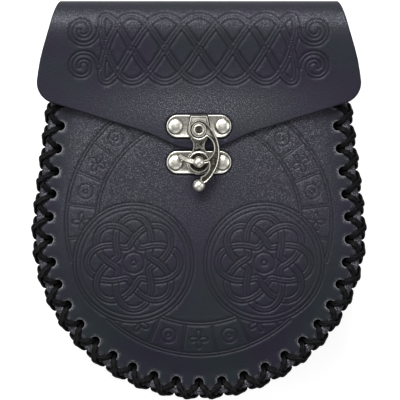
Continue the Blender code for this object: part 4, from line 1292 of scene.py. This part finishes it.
def shape_gusset(bm):
    mesh, points = to_arrays("gusset_leather", bm)
    along, level, z = points.T
    outer = z > -LEATHER / 2
    from_edge = np.minimum(level, STRIP_WIDTH - level)
    give, _ = cord_give(along, from_edge, STRIP_HOLE_INSET)
    to_end = ROW_END + MOUTH_MARGIN - np.abs(along)
    rim = rim_distance(along, from_edge, np.minimum(from_edge, to_end), STRIP_HOLE_INSET)
    sag = STRIP_SAG * np.sin(pi * np.clip(level / STRIP_WIDTH, 0, 1)) ** 2
    sag *= 1 + 0.25 * np.sin(along * 38 + 0.7) + 0.15 * np.sin(along * 97)
    flesh = LEATHER - FLESH_ROUNDING * rounding(rim) - 0.4 * give
    depth = sag + np.where(outer, rounding(rim) - 0.8 * give, flesh)
    placed = in_frame(*edge_place(along, depth), level + strip_low.z)
    marks = {"dyed_edge": dyed_edge(rim), "groove": np.zeros(len(rim)), "wear_and_sheen": 0.3 * outer}
    return add_piece(mesh, placed, "leather", "bag", "gusset", **marks)


strip_flat = gusset_flat()
add_flesh_side(strip_flat)
shape_gusset(strip_flat)

# %% [markdown]
# Lacing
#
# Two passes of one flat braid lace each seam. From a hole in the panel the cord crosses the edge halfway to
# the next hole of the gusset, and comes back up inside. The second pass does the same the other way round,
# so that the two make a cross on the edge at every stitch. One stitch of each pass is modelled along a smooth
# route in the flat, repeated, and laid round the bag as the border was.

# %% One stitch of cord
CORD_HALF_WIDTH = 1.48 * MM
CORD_HALF_THICKNESS = 0.90 * MM
CORD_SIDES = 12
CORD_STEPS = 44
# Each point of the route: share of the pitch, then inset and level in mm from the panel's laced corner; how
# wide and how thick the braid is there, as shares; and how far its flat side is turned, in degrees, from
# lying on the panel at 0 to lying on the gusset at 90.
STITCH = (
    (0.10, 6.9, -3.3, 0.95, 1.2, -40),
    (0.11, 5.6, -1.2, 0.85, 1.15, 20),
    (0.16, 4.1, 0.6, 0.95, 1.0, 5),
    (0.33, 1.9, 0.80, 1.0, 1.0, 8),
    (0.50, -0.10, 0.45, 1.0, 1.0, 45),
    (0.67, -0.75, -1.7, 1.0, 1.0, 85),
    (0.84, -0.70, -3.9, 0.95, 1.0, 92),
    (0.90, 0.8, -5.9, 0.82, 1.15, 60),
    (0.92, 2.9, -6.6, 0.85, 1.1, 0),
    (1.00, 5.4, -6.7, 0.85, 1.0, -45),
    (1.07, 7.9, -5.3, 1.05, 1.35, -80),
)
CROSSING_LIFT = 1.65 * MM
INSIDE_LIFT = 1.7 * MM


def stitch_route(over):
    """Smooth points of one stitch: place, half width, half thickness and turn, from hole to hole."""
    knots = np.array(STITCH) * (PITCH, MM, MM, CORD_HALF_WIDTH, CORD_HALF_THICKNESS, pi / 180)
    if over:
        for knot, lift in ((3, 0.35 * CROSSING_LIFT), (4, CROSSING_LIFT), (5, 0.35 * CROSSING_LIFT)):
            knots[knot, 1:3] += (-0.72 * lift, 0.70 * lift)
        knots[9, 1:3] += (-0.7 * INSIDE_LIFT, 0.7 * INSIDE_LIFT)
    count = len(knots)
    step = np.array([PITCH, 0, 0, 0, 0, 0])
    padded = np.vstack((knots[-1] - step, knots, knots[:2] + step))
    route = []
    for value in np.linspace(0, count, CORD_STEPS + 1):
        index = min(int(value), count - 1)
        share = value - index
        before, start, end, after = padded[index : index + 4]
        route.append(
            0.5 * (
                2 * start
                + (end - before) * share
                + (2 * before - 5 * start + 4 * end - after) * share**2
                + (3 * start - before - 3 * end + after) * share**3
            )
        )
    return np.array(route)


def stitch_mesh(over):
    """One stitch as an open tube in the flat; x along the row, y the inset, z the level."""
    route = stitch_route(over)
    if not over:
        route[:, 0] *= -1
    bm = bmesh.new()
    first = bmesh.ops.create_circle(bm, cap_ends=False, segments=CORD_SIDES, radius=1)["verts"]
    outline = [vert.co.copy() for vert in first]
    layer = bm.loops.layers.uv.new("cord")
    ring, rings = bm.edges[:], [list(first)]
    for _ in route[1:]:
        grown = bmesh.ops.extrude_edge_only(bm, edges=ring)["geom"]
        new = set(only(bmesh.types.BMVert, grown))
        ahead = [[edge.other_vert(vert) for edge in vert.link_edges] for vert in rings[-1]]
        rings.append([next(vert for vert in beside if vert in new) for beside in ahead])
        ring = [edge for edge in only(bmesh.types.BMEdge, grown) if new.issuperset(edge.verts)]
    travelled = np.concatenate(([0], np.cumsum(np.linalg.norm(np.diff(route[:, :3], axis=0), axis=1))))
    places = {}
    tangents = np.gradient(route[:, :3], axis=0)
    tangents[0] = tangents[-1] = route[1, :3] - route[0, :3] + route[-1, :3] - route[-2, :3]
    for index, verts in enumerate(rings):
        centre = Vector(route[index, :3])
        half_width, half_thickness, turn = route[index, 3:]
        along = Vector(tangents[index]).normalized()
        flat = Vector((0, -sin(turn), cos(turn)))
        aside = flat.cross(along).normalized()
        flat = along.cross(aside)
        for corner, (vert, spot) in enumerate(zip(verts, outline)):
            vert.co = centre + aside * spot.x * half_width + flat * spot.y * half_thickness
            places[vert] = (index, corner)
    for face in bm.faces:
        corners = [places[loop.vert][1] for loop in face.loops]
        wraps = max(corners) - min(corners) > 1
        for loop, corner in zip(face.loops, corners):
            index = places[loop.vert][0]
            around = corner + CORD_SIDES if wraps and corner == 0 else corner
            loop[layer].uv = (travelled[index] / travelled[-1], around / CORD_SIDES)
    return to_mesh("stitch", bm), travelled[-1]


over_stitch, over_length = stitch_mesh(True)
under_stitch, under_length = stitch_mesh(False)
print(f"one stitch: {over_length / MM:.1f} mm of cord over, {under_length / MM:.1f} mm under")

# %% [markdown]
# Both seams
#
# The stitch repeats between every two stations. At each end of a seam the cord is pushed back inside the bag,
# where its open end is closed with a face. The back seam is the front seam turned over.

# %% Lacing the seams
def lace(name, node, corner_level, outwards, rise):
    bm = bmesh.new()
    repeat(bm, over_stitch, STATIONS[:-1])
    repeat(bm, under_stitch, STATIONS[1:])
    bmesh.ops.remove_doubles(bm, verts=bm.verts, dist=20 * MERGE)
    bmesh.ops.holes_fill(bm, edges=[edge for edge in bm.edges if edge.is_boundary], sides=0)
    mesh, points = to_arrays(name, bm)
    along, inset, level = points.T
    lifted = level + rise * smooth_step(inset / HOLE_INSET)
    placed = in_frame(*edge_place(along, inset), corner_level + outwards * lifted)
    mesh.vertices.foreach_set("co", placed.ravel())
    closed = bmesh.new()
    closed.from_mesh(mesh)
    bmesh.ops.recalc_face_normals(closed, faces=closed.faces)
    closed.to_mesh(mesh)
    closed.free()
    return add_piece(mesh, None, "cord", "bag", node)


front_rise = float(crown(np.array(HOLE_INSET), np.array(0.0)))
lace("front_braid", "front_lacing", FRONT_EDGE, 1, front_rise)
lace("back_braid", "back_lacing", BACK_OUTER, -1, 0.0)
cord_length = STITCHES * (over_length + under_length)
print(f"each seam takes about {cord_length:.2f} m of cord")

# %% [markdown]
# Casting the clasp
#
# A cast part has no sharp edges: its outline stands up as a rounded rim, and the face inside lies a little
# lower. Each part starts as a flat region of the right outline. Rings are inset one after another, each with
# its own drop and its own share of dark patina and painted shade, and the rim is then drawn down to the back,
# whose edge is fully dark as patina and as a painted shade line round the part.

# %% Casting helpers
# Each ring: inset in mm, drop below the top in mm, share of dark patina and painted shade
RIM_RINGS = ((0.0, 0.42, 1.0), (0.14, 0.14, 0.3), (0.30, 0.0, 0.0), (0.46, 0.03, 0.0), (0.62, 0.32, 0.8))
# The shield's first two rings make a dark groove round its foot: patina, and painted shade in the crevice.
SHIELD_RINGS = (
    *((0.0, 1.56, 1.0), (0.44, 1.52, 1.0), (0.54, 0.40, 0.5), (0.68, 0.06, 0.0)),
    *((0.90, 0.0, 0.0), (1.12, 0.05, 0.0), (1.30, 0.34, 0.9), (1.60, 0.30, 0.4)),
)
PLATE_RINGS = ((0.0, 0.42, 0.6), (0.16, 0.14, 0.0), (0.40, 0.0, 0.0), (0.66, 0.02, 0.0), (0.95, 0.16, 0.4))
HOOK_RINGS = (
    *((0.0, 0.80, 1.0), (0.16, 0.30, 0.6), (0.34, 0.02, 0.0)),
    *((0.58, 0.03, 0.0), (0.80, 0.28, 0.5), (1.04, 0.75, 1.0)),
)
SHARP_ANGLE = radians(50.0)


def arc(centre, radius, start, end, steps):
    angles = np.linspace(start, end, steps + 1)
    return [Vector((centre[0] + radius * cos(a), centre[1] + radius * sin(a))) for a in angles]


def mirrored(right):
    """A closed outline from its right half, given from the top to the bottom."""
    return right + [Vector((-point.x, point.y)) for point in reversed(right) if abs(point.x) > MERGE]


def cast(outline, top, base, rings):
    """A casting with this outline, whose front follows the rings from its rim inwards."""
    bm = bmesh.new()
    layer = bm.verts.layers.float.new("recess")
    face = bm.faces.new([bm.verts.new((*point, base)) for point in outline])
    # The back's outline is fully dark: patina, and a painted shade line at the foot of the part.
    for vert in face.verts:
        vert[layer] = 1.0
    bm.normal_update()
    if face.normal.z < 0:
        face.normal_flip()
    grown = bmesh.ops.extrude_face_region(bm, geom=[face], use_keep_orig=True)["geom"]
    front = only(bmesh.types.BMFace, grown)
    bmesh.ops.reverse_faces(bm, faces=[face])
    bm.normal_update()
    width = 0.0
    for inset, drop, patina_and_shade in rings:
        if inset:
            bmesh.ops.inset_region(
                bm, faces=front, thickness=(inset - width) * MM, use_boundary=True, use_even_offset=True
            )
        for vert in front[0].verts:
            vert.co.z = top - drop * MM
            vert[layer] = patina_and_shade
        bm.normal_update()
        width = inset
    bmesh.ops.recalc_face_normals(bm, faces=bm.faces)
    return bm


def turned(profile, centre, steps=48, patina_and_shade=()):
    """A turned shape from its profile of radius and height; the last argument lists radius limits that are dark,
    as patina and painted shade.
    """
    bm = bmesh.new()
    layer = bm.verts.layers.float.new("recess")
    points = [bm.verts.new((radius, 0, height)) for radius, height in profile]
    for point, (radius, height) in zip(points, profile):
        if any(low <= radius <= high and height <= limit for low, high, limit in patina_and_shade):
            point[layer] = 1.0
    edges = [bm.edges.new(pair) for pair in zip(points, points[1:])]
    bmesh.ops.spin(
        bm, geom=points + edges, cent=(0, 0, 0), axis=(0, 0, 1), angle=2 * pi, steps=steps, use_merge=True
    )
    bmesh.ops.remove_doubles(bm, verts=bm.verts, dist=MERGE)
    bmesh.ops.recalc_face_normals(bm, faces=bm.faces)
    bmesh.ops.translate(bm, verts=bm.verts, vec=(centre[0], centre[1], 0))
    return bm


def cut_from(bm, cutter):
    """The shape with the cutter's volume taken away."""
    pair = [add_object("part", to_mesh("part", part)) for part in (bm, cutter)]
    modifier = pair[0].modifiers.new("cut", "BOOLEAN")
    modifier.operation = "DIFFERENCE"
    modifier.solver = "EXACT"
    modifier.object = pair[1]
    cut = bmesh.new()
    cut.from_object(pair[0], bpy.context.evaluated_depsgraph_get())
    for obj in pair:
        bpy.data.meshes.remove(obj.data)
    return cut


def add_metal(name, slot, body, node, *parts):
    """Several closed shapes as one piece of metal."""
    whole = bmesh.new()
    for part in parts:
        mesh = to_mesh("part", part)
        whole.from_mesh(mesh)
        bpy.data.meshes.remove(mesh)
    mesh = to_mesh(name, whole)
    mesh.set_sharp_from_angle(angle=SHARP_ANGLE)
    return add_piece(mesh, None, slot, body, node)


def in_mm(pairs, across=0.0, level=0.0):
    """A profile in metres from pairs in mm, counted from a radius and a level."""
    return [(across + radius * MM, level + rise * MM) for radius, rise in pairs]


def dome(radius, height, seat, steps=9):
    """Profile of a domed head whose edge meets its seat steeply."""
    turns = [pi / 2 * step / steps for step in range(steps + 1)]
    return [(radius * sin(turn), seat + height * cos(turn)) for turn in turns]


# %% [markdown]
# Plates
#
# Both plates are the same rounded bar. The upper one carries the tongue: a shield under the hook's pivot, a
# hollow neck and a ring that drops over the post. The lower one carries the post on a round boss. The post's
# ball has an eye below it, cut right through, where the hook's tine slides in.

# %% Clasp sizes and outlines
PLATE_THICKNESS = 1.2 * MM
PLATE_CORNER = 5.4 * MM
PLATE_ABOVE_PIVOT = 1.9 * MM
SHIELD_TOP_WIDTH = 9.1 * MM
SHIELD_SHOULDER = radians(12.0)
SHIELD_THICKNESS = 2.8 * MM
NECK_WIDTH = 5.6 * MM
TONGUE_THICKNESS = 1.9 * MM
SHIELD_RADIUS = 5.95 * MM
RING_HOLE = 4.5 * MM
RING_RADIUS = 6.25 * MM
BOSS_RADIUS = 6.2 * MM
POST_RADIUS = 2.4 * MM
BALL_RADIUS = 2.8 * MM
POST_EYE_WIDTH = 3.0 * MM
POST_EYE_HEIGHT = 2.8 * MM
HOOK_THICKNESS = 2.0 * MM
CLASP_GAP = 0.3 * MM
RUNNING_GAP = 0.35 * MM

pivot_low, pivot_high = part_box("clasp_pivot")
PIVOT = ((pivot_low + pivot_high) / 2).xy
POST = ((lower_low + lower_high) / 2).xy
HOOK_BASE = upper_high.z + RUNNING_GAP


def plate_outline(centre):
    left, right = centre.x - PLATE_LENGTH / 2, centre.x + PLATE_LENGTH / 2
    low, high = centre.y - PLATE_WIDTH / 2, centre.y + PLATE_WIDTH / 2
    corners = ((left, low), (right, low), (right, high), (left, high))
    return rounded([(*corner, PLATE_CORNER) for corner in corners])


def tongue_outline():
    """The neck from under the shield as far as the ring's bead."""
    half_way = (PIVOT.y - POST.y) / 2
    half_width = NECK_WIDTH / 2
    radius = (half_way**2 + half_width**2 - RING_RADIUS**2) / (2 * (RING_RADIUS - half_width))
    centre = Vector((half_width + radius, POST.y + half_way))
    to_shield = atan2(PIVOT.y - centre.y, -centre.x)
    to_ring = atan2(POST.y - centre.y, -centre.x) % (2 * pi)
    neck = arc(centre, radius, to_shield, to_ring, 16)
    bead = arc((0, POST.y), RING_HOLE + 0.45 * MM, to_ring - pi, pi / 2, 10)
    outline = mirrored([Vector((2 * MM, PIVOT.y))] + neck + bead)
    return [point + Vector((PIVOT.x, 0)) for point in outline]


def shield_outline():
    corner = Vector((SHIELD_TOP_WIDTH / 2, PIVOT.y + PLATE_ABOVE_PIVOT + PLATE_WIDTH / 2))
    disc = arc((0, PIVOT.y), SHIELD_RADIUS, SHIELD_SHOULDER, -pi / 2, 24)
    return [point + Vector((PIVOT.x, 0)) for point in mirrored([corner] + disc)]


print("pivot", tuple(round(v / MM, 2) for v in PIVOT), "post", tuple(round(v / MM, 2) for v in POST), "in mm")

# %% Upper and lower plate
# Profile of the ring: radius and height in mm. A plain bead inside, a groove and a low bead outside.
RING_PROFILE = (
    *((4.50, 0.00), (4.50, 1.35), (4.62, 1.72), (4.84, 1.94), (5.12, 1.94), (5.34, 1.72)),
    *((5.44, 1.24), (5.60, 1.08), (5.80, 1.22), (6.02, 1.16), (6.16, 0.90), (6.22, 0.00)),
)
# Profile of the boss outside the post: a fillet, a low step and the flat as far as the boss's edge.
BOSS_STEPS = ((0, 0.3), (0.3, 0), (0.7, 0), (0.9, 0.35), (1.2, 0.35), (1.4, 0))


def make_upper_plate():
    base = upper_low.z
    centre = PIVOT + Vector((0, PLATE_ABOVE_PIVOT))
    bar = cast(plate_outline(centre), base + PLATE_THICKNESS, base, PLATE_RINGS)
    tongue = cast(tongue_outline(), base + TONGUE_THICKNESS, base, RIM_RINGS)
    shield = cast(shield_outline(), base + SHIELD_THICKNESS, base, SHIELD_RINGS)
    bead = in_mm(RING_PROFILE, level=base)
    ring = turned(bead + bead[:1], POST, patina_and_shade=[(5.4 * MM, 5.65 * MM, base + 1.3 * MM)])
    return add_metal("upper_plate_cast", "clasp_metal", "bag", "clasp_upper_plate", bar, tongue, shield, ring)


def make_lower_plate():
    base, boss_top = lower_low.z, upper_low.z - CLASP_GAP
    bar = cast(plate_outline(POST), base + PLATE_THICKNESS, base, PLATE_RINGS)
    ball = lower_high.z - BALL_RADIUS
    widest = sqrt(BALL_RADIUS**2 - POST_RADIUS**2)
    head = [
        (BALL_RADIUS * cos(turn), ball + BALL_RADIUS * sin(turn))
        for turn in np.linspace(pi / 2, -atan2(widest, POST_RADIUS), 14)
    ]
    profile = [(0, head[0][1])] + head[1:] + in_mm(BOSS_STEPS, POST_RADIUS, boss_top)
    profile += in_mm(((-0.3, 0), (0, -0.3)), BOSS_RADIUS, boss_top)
    profile += [(BOSS_RADIUS, base + 0.2 * MM), (0, base + 0.2 * MM)]
    post = turned(profile, POST, patina_and_shade=[(POST_RADIUS, BOSS_RADIUS, boss_top + 0.36 * MM)])
    eye = bmesh.new()
    bmesh.ops.create_cube(eye, size=1)
    bmesh.ops.scale(eye, verts=eye.verts, vec=(4 * BALL_RADIUS, POST_EYE_WIDTH, POST_EYE_HEIGHT))
    bmesh.ops.translate(eye, verts=eye.verts, vec=(*POST, HOOK_BASE + HOOK_THICKNESS / 2))
    return add_metal("lower_plate_cast", "clasp_metal", "bag", "clasp_lower_plate", bar, cut_from(post, eye))


make_upper_plate()
make_lower_plate()

# %% [markdown]
# The hook
#
# From above, the hook is a crescent that hangs from an eye round the pivot and ends in a ball to push it by.
# A curved tine branches off inwards and slides through the post's eye. The crescent is hollowed between two
# rims, the eye has turned rings, and the tine has three ridges, as its profile is spun about the pivot.

# %% Hook
HOOK_EYE_RADIUS = 5.1 * MM
HOOK_REACH = 10.4 * MM
HOOK_BACK_DROP = 11.3 * MM
HOOK_HEEL = radians(-49.0)
KNOB_DROP = 27.7 * MM
TINE_RADIUS = 16.1 * MM
TINE_WIDTH = 2.2 * MM
TINE_START = radians(-84.0)
TINE_ROOT = radians(-86.0)
TINE_END = radians(-128.0)
TINE_GROOVE = 0.20 * MM
BORE_RADIUS = 1.98 * MM
# Profile of the eye's turned rings: radius, and height above the hook's top, in mm
EYE_RINGS = (
    *((2.90, 0.06), (2.98, -0.14), (3.14, -0.14), (3.26, 0.10)),
    *((3.56, 0.10), (3.70, -0.12), (3.86, -0.12), (3.94, -0.60)),
)
# Round cut-outs above and below the tine: centre's x and y from the pivot, and radius, as shares of the
# tine's radius.
HOOK_WINDOW = (0.068, -0.559, 0.388)
HOOK_LOBE = (-0.056, -1.100, 0.360)
HOOK_LOBE_END = radians(-72.0)


def circles_meet(centre, radius, other_centre, other_radius):
    """The point with the larger x where two circles cross."""
    between = other_centre - centre
    along = (radius**2 - other_radius**2 + between.length_squared) / (2 * between.length)
    direction = between.normalized()
    sideways = Vector((-direction.y, direction.x)) * sqrt(radius**2 - along**2)
    foot = centre + direction * along
    return max(foot + sideways, foot - sideways, key=lambda point: point.x)


def crescent_outline():
    """The hook as far as its tine's root, measured from the pivot: eye, window, root, lobe, heel, back."""
    pivot = Vector((0, 0))
    stand_off = HOOK_REACH - HOOK_EYE_RADIUS
    back_across = (HOOK_BACK_DROP**2 - stand_off**2) / (2 * stand_off)
    back = Vector((-back_across, -HOOK_BACK_DROP))
    back_end = atan2(HOOK_BACK_DROP, back_across)
    window, window_radius = Vector(HOOK_WINDOW[:2]) * TINE_RADIUS, HOOK_WINDOW[2] * TINE_RADIUS
    lobe, lobe_radius = Vector(HOOK_LOBE[:2]) * TINE_RADIUS, HOOK_LOBE[2] * TINE_RADIUS
    inner, outer = TINE_RADIUS - TINE_WIDTH / 2, TINE_RADIUS + TINE_WIDTH / 2
    to_window = circles_meet(pivot, HOOK_EYE_RADIUS, window, window_radius)
    to_tine = circles_meet(pivot, inner, window, window_radius)
    to_lobe = circles_meet(pivot, outer, lobe, lobe_radius)

    def angle(centre, point):
        return atan2(point.y - centre.y, point.x - centre.x)

    outline = arc(pivot, HOOK_EYE_RADIUS, back_end, angle(pivot, to_window) + 2 * pi, 40)
    outline += arc(window, window_radius, angle(window, to_window), angle(window, to_tine), 24)[1:]
    outline += arc(pivot, inner, angle(pivot, to_tine), TINE_ROOT, 2)[1:]
    outline += arc(pivot, outer, TINE_ROOT, angle(pivot, to_lobe), 2)
    # The last step before a sharp corner is a long one, so that an inset doesn't turn it round.
    lobe_side = arc(lobe, lobe_radius, angle(lobe, to_lobe), HOOK_LOBE_END, 14)
    outline += lobe_side[1:-3] + [lobe_side[-1], Vector((0, -KNOB_DROP))]
    back_side = arc(back, HOOK_REACH + back_across, HOOK_HEEL, back_end, 40)
    outline += [back_side[0]] + back_side[3:-1]
    return [point + PIVOT for point in outline]


def make_tine():
    """The tine's profile, with three ridges on top, spun about the pivot and closed at both ends."""
    half = TINE_WIDTH / 2 - 0.12 * MM
    top = HOOK_BASE + HOOK_THICKNESS
    foot = half + 0.40 * MM
    side = [(half, top - 0.3 * MM), (foot, HOOK_BASE + 0.7 * MM), (foot, HOOK_BASE + 0.2 * MM)]
    profile = [(-across, level) for across, level in reversed(side)]
    for ridge in (-1, 0, 1):
        middle = ridge * half * 0.66
        profile += in_mm(((-0.26, -0.12), (-0.14, -0.02), (0, 0), (0.14, -0.02), (0.26, -0.12)), middle, top)
        if ridge < 1:
            profile.append((middle + half * 0.33, top - TINE_GROOVE))
    profile += side + [(half, HOOK_BASE), (-half, HOOK_BASE)]
    bm = bmesh.new()
    layer = bm.verts.layers.float.new("recess")
    verts = [bm.verts.new((TINE_RADIUS + across, 0, level)) for across, level in profile]
    for vert, (_, level) in zip(verts, profile):
        in_groove = abs(level - top + TINE_GROOVE) < MERGE
        # Points low on the sides are dark as painted shade under the tine; the grooves are dark patina.
        vert[layer] = 1.0 if level < top - 0.5 * MM else 0.8 * in_groove
    bm.faces.new(verts)
    bmesh.ops.rotate(bm, verts=bm.verts, cent=(0, 0, 0), matrix=Matrix.Rotation(TINE_START, 3, "Z"))
    geometry = bm.verts[:] + bm.edges[:] + bm.faces[:]
    bmesh.ops.spin(
        bm, geom=geometry, cent=(0, 0, 0), axis=(0, 0, 1), angle=TINE_END - TINE_START, steps=36
    )
    bmesh.ops.recalc_face_normals(bm, faces=bm.faces)
    bmesh.ops.translate(bm, verts=bm.verts, vec=(*PIVOT, 0))
    return bm


def make_hook():
    top = HOOK_BASE + HOOK_THICKNESS
    crescent = cast(crescent_outline(), top, HOOK_BASE, HOOK_RINGS)
    bore = bmesh.new()
    bmesh.ops.create_cone(
        bore,
        cap_ends=True,
        segments=28,
        radius1=BORE_RADIUS,
        radius2=BORE_RADIUS,
        depth=4 * HOOK_THICKNESS,
        matrix=Matrix.Translation((*PIVOT, HOOK_BASE)),
    )
    crescent = cut_from(crescent, bore)
    rings = [(2.0 * MM, HOOK_BASE), (2.0 * MM, top + 0.05 * MM)] + in_mm(EYE_RINGS, level=top)
    rings.append((3.94 * MM, HOOK_BASE + 0.1 * MM))
    eye = turned(rings + [rings[0]], PIVOT, patina_and_shade=[(2.95 * MM, 4.0 * MM, top)])
    knob = bmesh.new()
    knob.verts.layers.float.new("recess")
    place = Matrix.Translation((PIVOT.x, PIVOT.y - KNOB_DROP, HOOK_BASE + HOOK_THICKNESS / 2))
    bmesh.ops.create_uvsphere(knob, u_segments=40, v_segments=24, radius=KNOB_RADIUS, matrix=place)
    return add_metal("hook_cast", "clasp_metal", "clasp_hook", "clasp_hook", crescent, eye, make_tine(), knob)


make_hook()

# %% [markdown]
# Pivot and rivets
#
# The pivot is a tubular rivet: a bright rolled lip round a dark hollow. The clasp's other rivets have smooth
# domes that were polished with the plate, and the corner where dome and plate meet is dark: dirt, and the
# dome's painted shadow.

# %% Pivot and rivets
# Profiles of radius and height in mm. The pivot's lip is counted from its top, the clasp rivet's skirt from
# its dome's seat, and both tails from the bottom.
PIVOT_LIP = (
    *((0, -0.50), (1.5, -0.52), (1.80, -0.50), (1.93, -0.22), (2.05, -0.05), (2.25, 0.0)),
    *((2.45, -0.04), (2.62, -0.18), (2.74, -0.40), (2.78, -0.62), (2.8, -0.88), (1.6, -0.9)),
)
PIVOT_TAIL = ((1.6, 0.6), (2.4, 0.6), (2.4, 0), (0, 0))
RIVET_SKIRT = ((4.0, -0.02), (4.0, -0.25), (1.3, -0.28))
RIVET_TAIL = ((1.3, 0.8), (2.5, 0.8), (2.5, 0), (0, 0))


def make_pivot():
    profile = in_mm(PIVOT_LIP, level=pivot_high.z) + in_mm(PIVOT_TAIL, level=pivot_low.z)
    tube = turned(profile, PIVOT, patina_and_shade=[(0, 1.85 * MM, pivot_high.z - 0.45 * MM)])
    return add_metal("pivot_turned", "clasp_metal", "bag", "clasp_pivot", tube)


def make_clasp_rivet(node):
    low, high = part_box(node)
    seat = high.z - 1.2 * MM
    profile = dome(3.75 * MM, 1.45 * MM, seat)
    profile += in_mm(RIVET_SKIRT, level=seat) + in_mm(RIVET_TAIL, level=low.z)
    # A dark ring where the dome meets its seat: dirt, and the dome's painted shadow.
    rivet = turned(profile, (low + high) / 2, patina_and_shade=[(3.74 * MM, 4.1 * MM, seat + 0.1 * MM)])
    return add_metal(node.replace("clasp", "turned"), "clasp_metal", "bag", node, rivet)


make_pivot()
for row in ("upper", "lower"):
    for number in (1, 2):
        make_clasp_rivet(f"clasp_{row}_rivet_{number}")

# %% [markdown]
# Belt loops
#
# Each loop is a strap of the same leather with rounded ends, riveted to the back and standing off it in the
# middle. It is made as a flat grid whose square corners are pressed round, with an edge crease, and is then
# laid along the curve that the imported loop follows.

# %% Belt loops
LOOP_WIDTH = 28 * MM
LOOP_RUN = 52 * MM
LOOP_BEND = 10 * MM
LOOP_TAB = 13 * MM
LOOP_CORNER = 5 * MM
CREASE_INSET = 2.2 * MM
CREASE_WIDTH = 0.42 * MM
CREASE_DEPTH = 0.30 * MM
# Profile of a loop rivet behind its dome: radius, and height from the dome's seat or the tail's end, in mm
LOOP_RIVET_SKIRT = ((3.6, 0.12), (1.3, 0.14))
LOOP_RIVET_TAIL = ((1.3, -0.8), (2.3, -0.8), (2.5, -0.6), (2.5, -0.2), (2.3, 0), (0, 0))
RUN_LEVEL = LEATHER / 2
TAB_LEVEL = BACK_OUTER - 0.3 * MM - LEATHER / 2


def strap_level(y):
    """Height of the strap's middle, and its slope, at a distance from the loop's centre."""
    share = np.clip((np.abs(y) - LOOP_RUN / 2) / LOOP_BEND, 0, 1)
    level = RUN_LEVEL + (TAB_LEVEL - RUN_LEVEL) * (1 - np.cos(pi * share)) / 2
    slope = np.sign(y) * (TAB_LEVEL - RUN_LEVEL) * pi * np.sin(pi * share) / (2 * LOOP_BEND)
    return level, slope


def make_belt_loop(node):
    low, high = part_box(node)
    centre = (low + high) / 2
    half_width, half_length = LOOP_WIDTH / 2, LOOP_RUN / 2 + LOOP_BEND + LOOP_TAB
    bm = bmesh.new()
    bmesh.ops.create_grid(bm, x_segments=16, y_segments=60, size=1)
    bmesh.ops.scale(bm, verts=bm.verts, vec=(half_width, half_length, 1))
    for step in (*ROUNDING_RINGS, CREASE_INSET - 0.35 * MM, CREASE_INSET, CREASE_INSET + 0.35 * MM):
        for side in (-1, 1):
            cut_across(bm, (side * (half_width - step), 0, 0), (1, 0, 0))
            cut_across(bm, (0, side * (half_length - step), 0), (0, 1, 0))
    add_flesh_side(bm)
    mesh, points = to_arrays(node + "_strap", bm)
    x, y, level = points.T
    inset = np.maximum(np.minimum(half_width - np.abs(x), half_length - np.abs(y)), 0)
    across = np.clip((np.abs(x) - half_width + LOOP_CORNER) / LOOP_CORNER, 0, 1)
    ahead = np.clip((np.abs(y) - half_length + LOOP_CORNER) / LOOP_CORNER, 0, 1)
    x = np.sign(x) * (np.abs(x) - across * LOOP_CORNER * (1 - np.sqrt(1 - ahead**2 / 2)))
    y = np.sign(y) * (np.abs(y) - ahead * LOOP_CORNER * (1 - np.sqrt(1 - across**2 / 2)))
    worn_side = level > -LEATHER / 2
    crease = bell((inset - CREASE_INSET) / CREASE_WIDTH) * worn_side
    offset = np.where(worn_side, -1, 1) * (LEATHER / 2 - rounding(inset)) + crease * CREASE_DEPTH
    middle, slope = strap_level(y)
    length = np.sqrt(1 + slope**2)
    placed = np.column_stack((centre.x + x, centre.y + y - offset * slope / length, middle + offset / length))
    placed[:, 2] = np.maximum(placed[:, 2], 0)
    marks = {
        "groove": crease,
        "dyed_edge": np.clip(1 - inset / DYED_WIDTH, 0, 1),
        "wear_and_sheen": 0.25 * worn_side * (np.abs(y) < LOOP_RUN / 2),
    }
    return add_piece(mesh, placed, "leather", "bag", node, **marks)


def make_loop_rivet(node):
    """A rivet whose dome lies under the strap's end and whose flat tail is inside the bag."""
    low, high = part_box(node)
    seat = low.z + 1.2 * MM
    profile = dome(3.6 * MM, -1.2 * MM, seat)
    profile += in_mm(LOOP_RIVET_SKIRT, level=seat) + in_mm(LOOP_RIVET_TAIL, level=high.z)
    rivet = turned(profile, (low + high) / 2, patina_and_shade=[(3.55 * MM, 3.7 * MM, seat + 0.2 * MM)])
    return add_metal(node + "_turned", "rivet_metal", "bag", node, rivet)


for side in ("left", "right"):
    make_belt_loop(f"belt_loop_{side}")
for number in range(1, 5):
    make_loop_rivet(f"belt_loop_rivet_{number}")

# %% [markdown]
# Finishing
#
# The imported nodes that are still shown get their finish, and the sizes of the imported model and of the
# dressed one are put side by side; the dressed one's box is printed.

# %% Finish
for part in frame["record"]["subparts"]:
    node = bpy.data.objects[part["node"]]
    for slot in node.material_slots:
        slot.material = FINISHES[part["material_slot"]]

sizes = {name: [list(corner) for corner in box] for name, box in (("cad", cad_box), ("visual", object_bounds()))}
print("visual box in mm", [[round(value / MM, 1) for value in corner] for corner in sizes["visual"]])
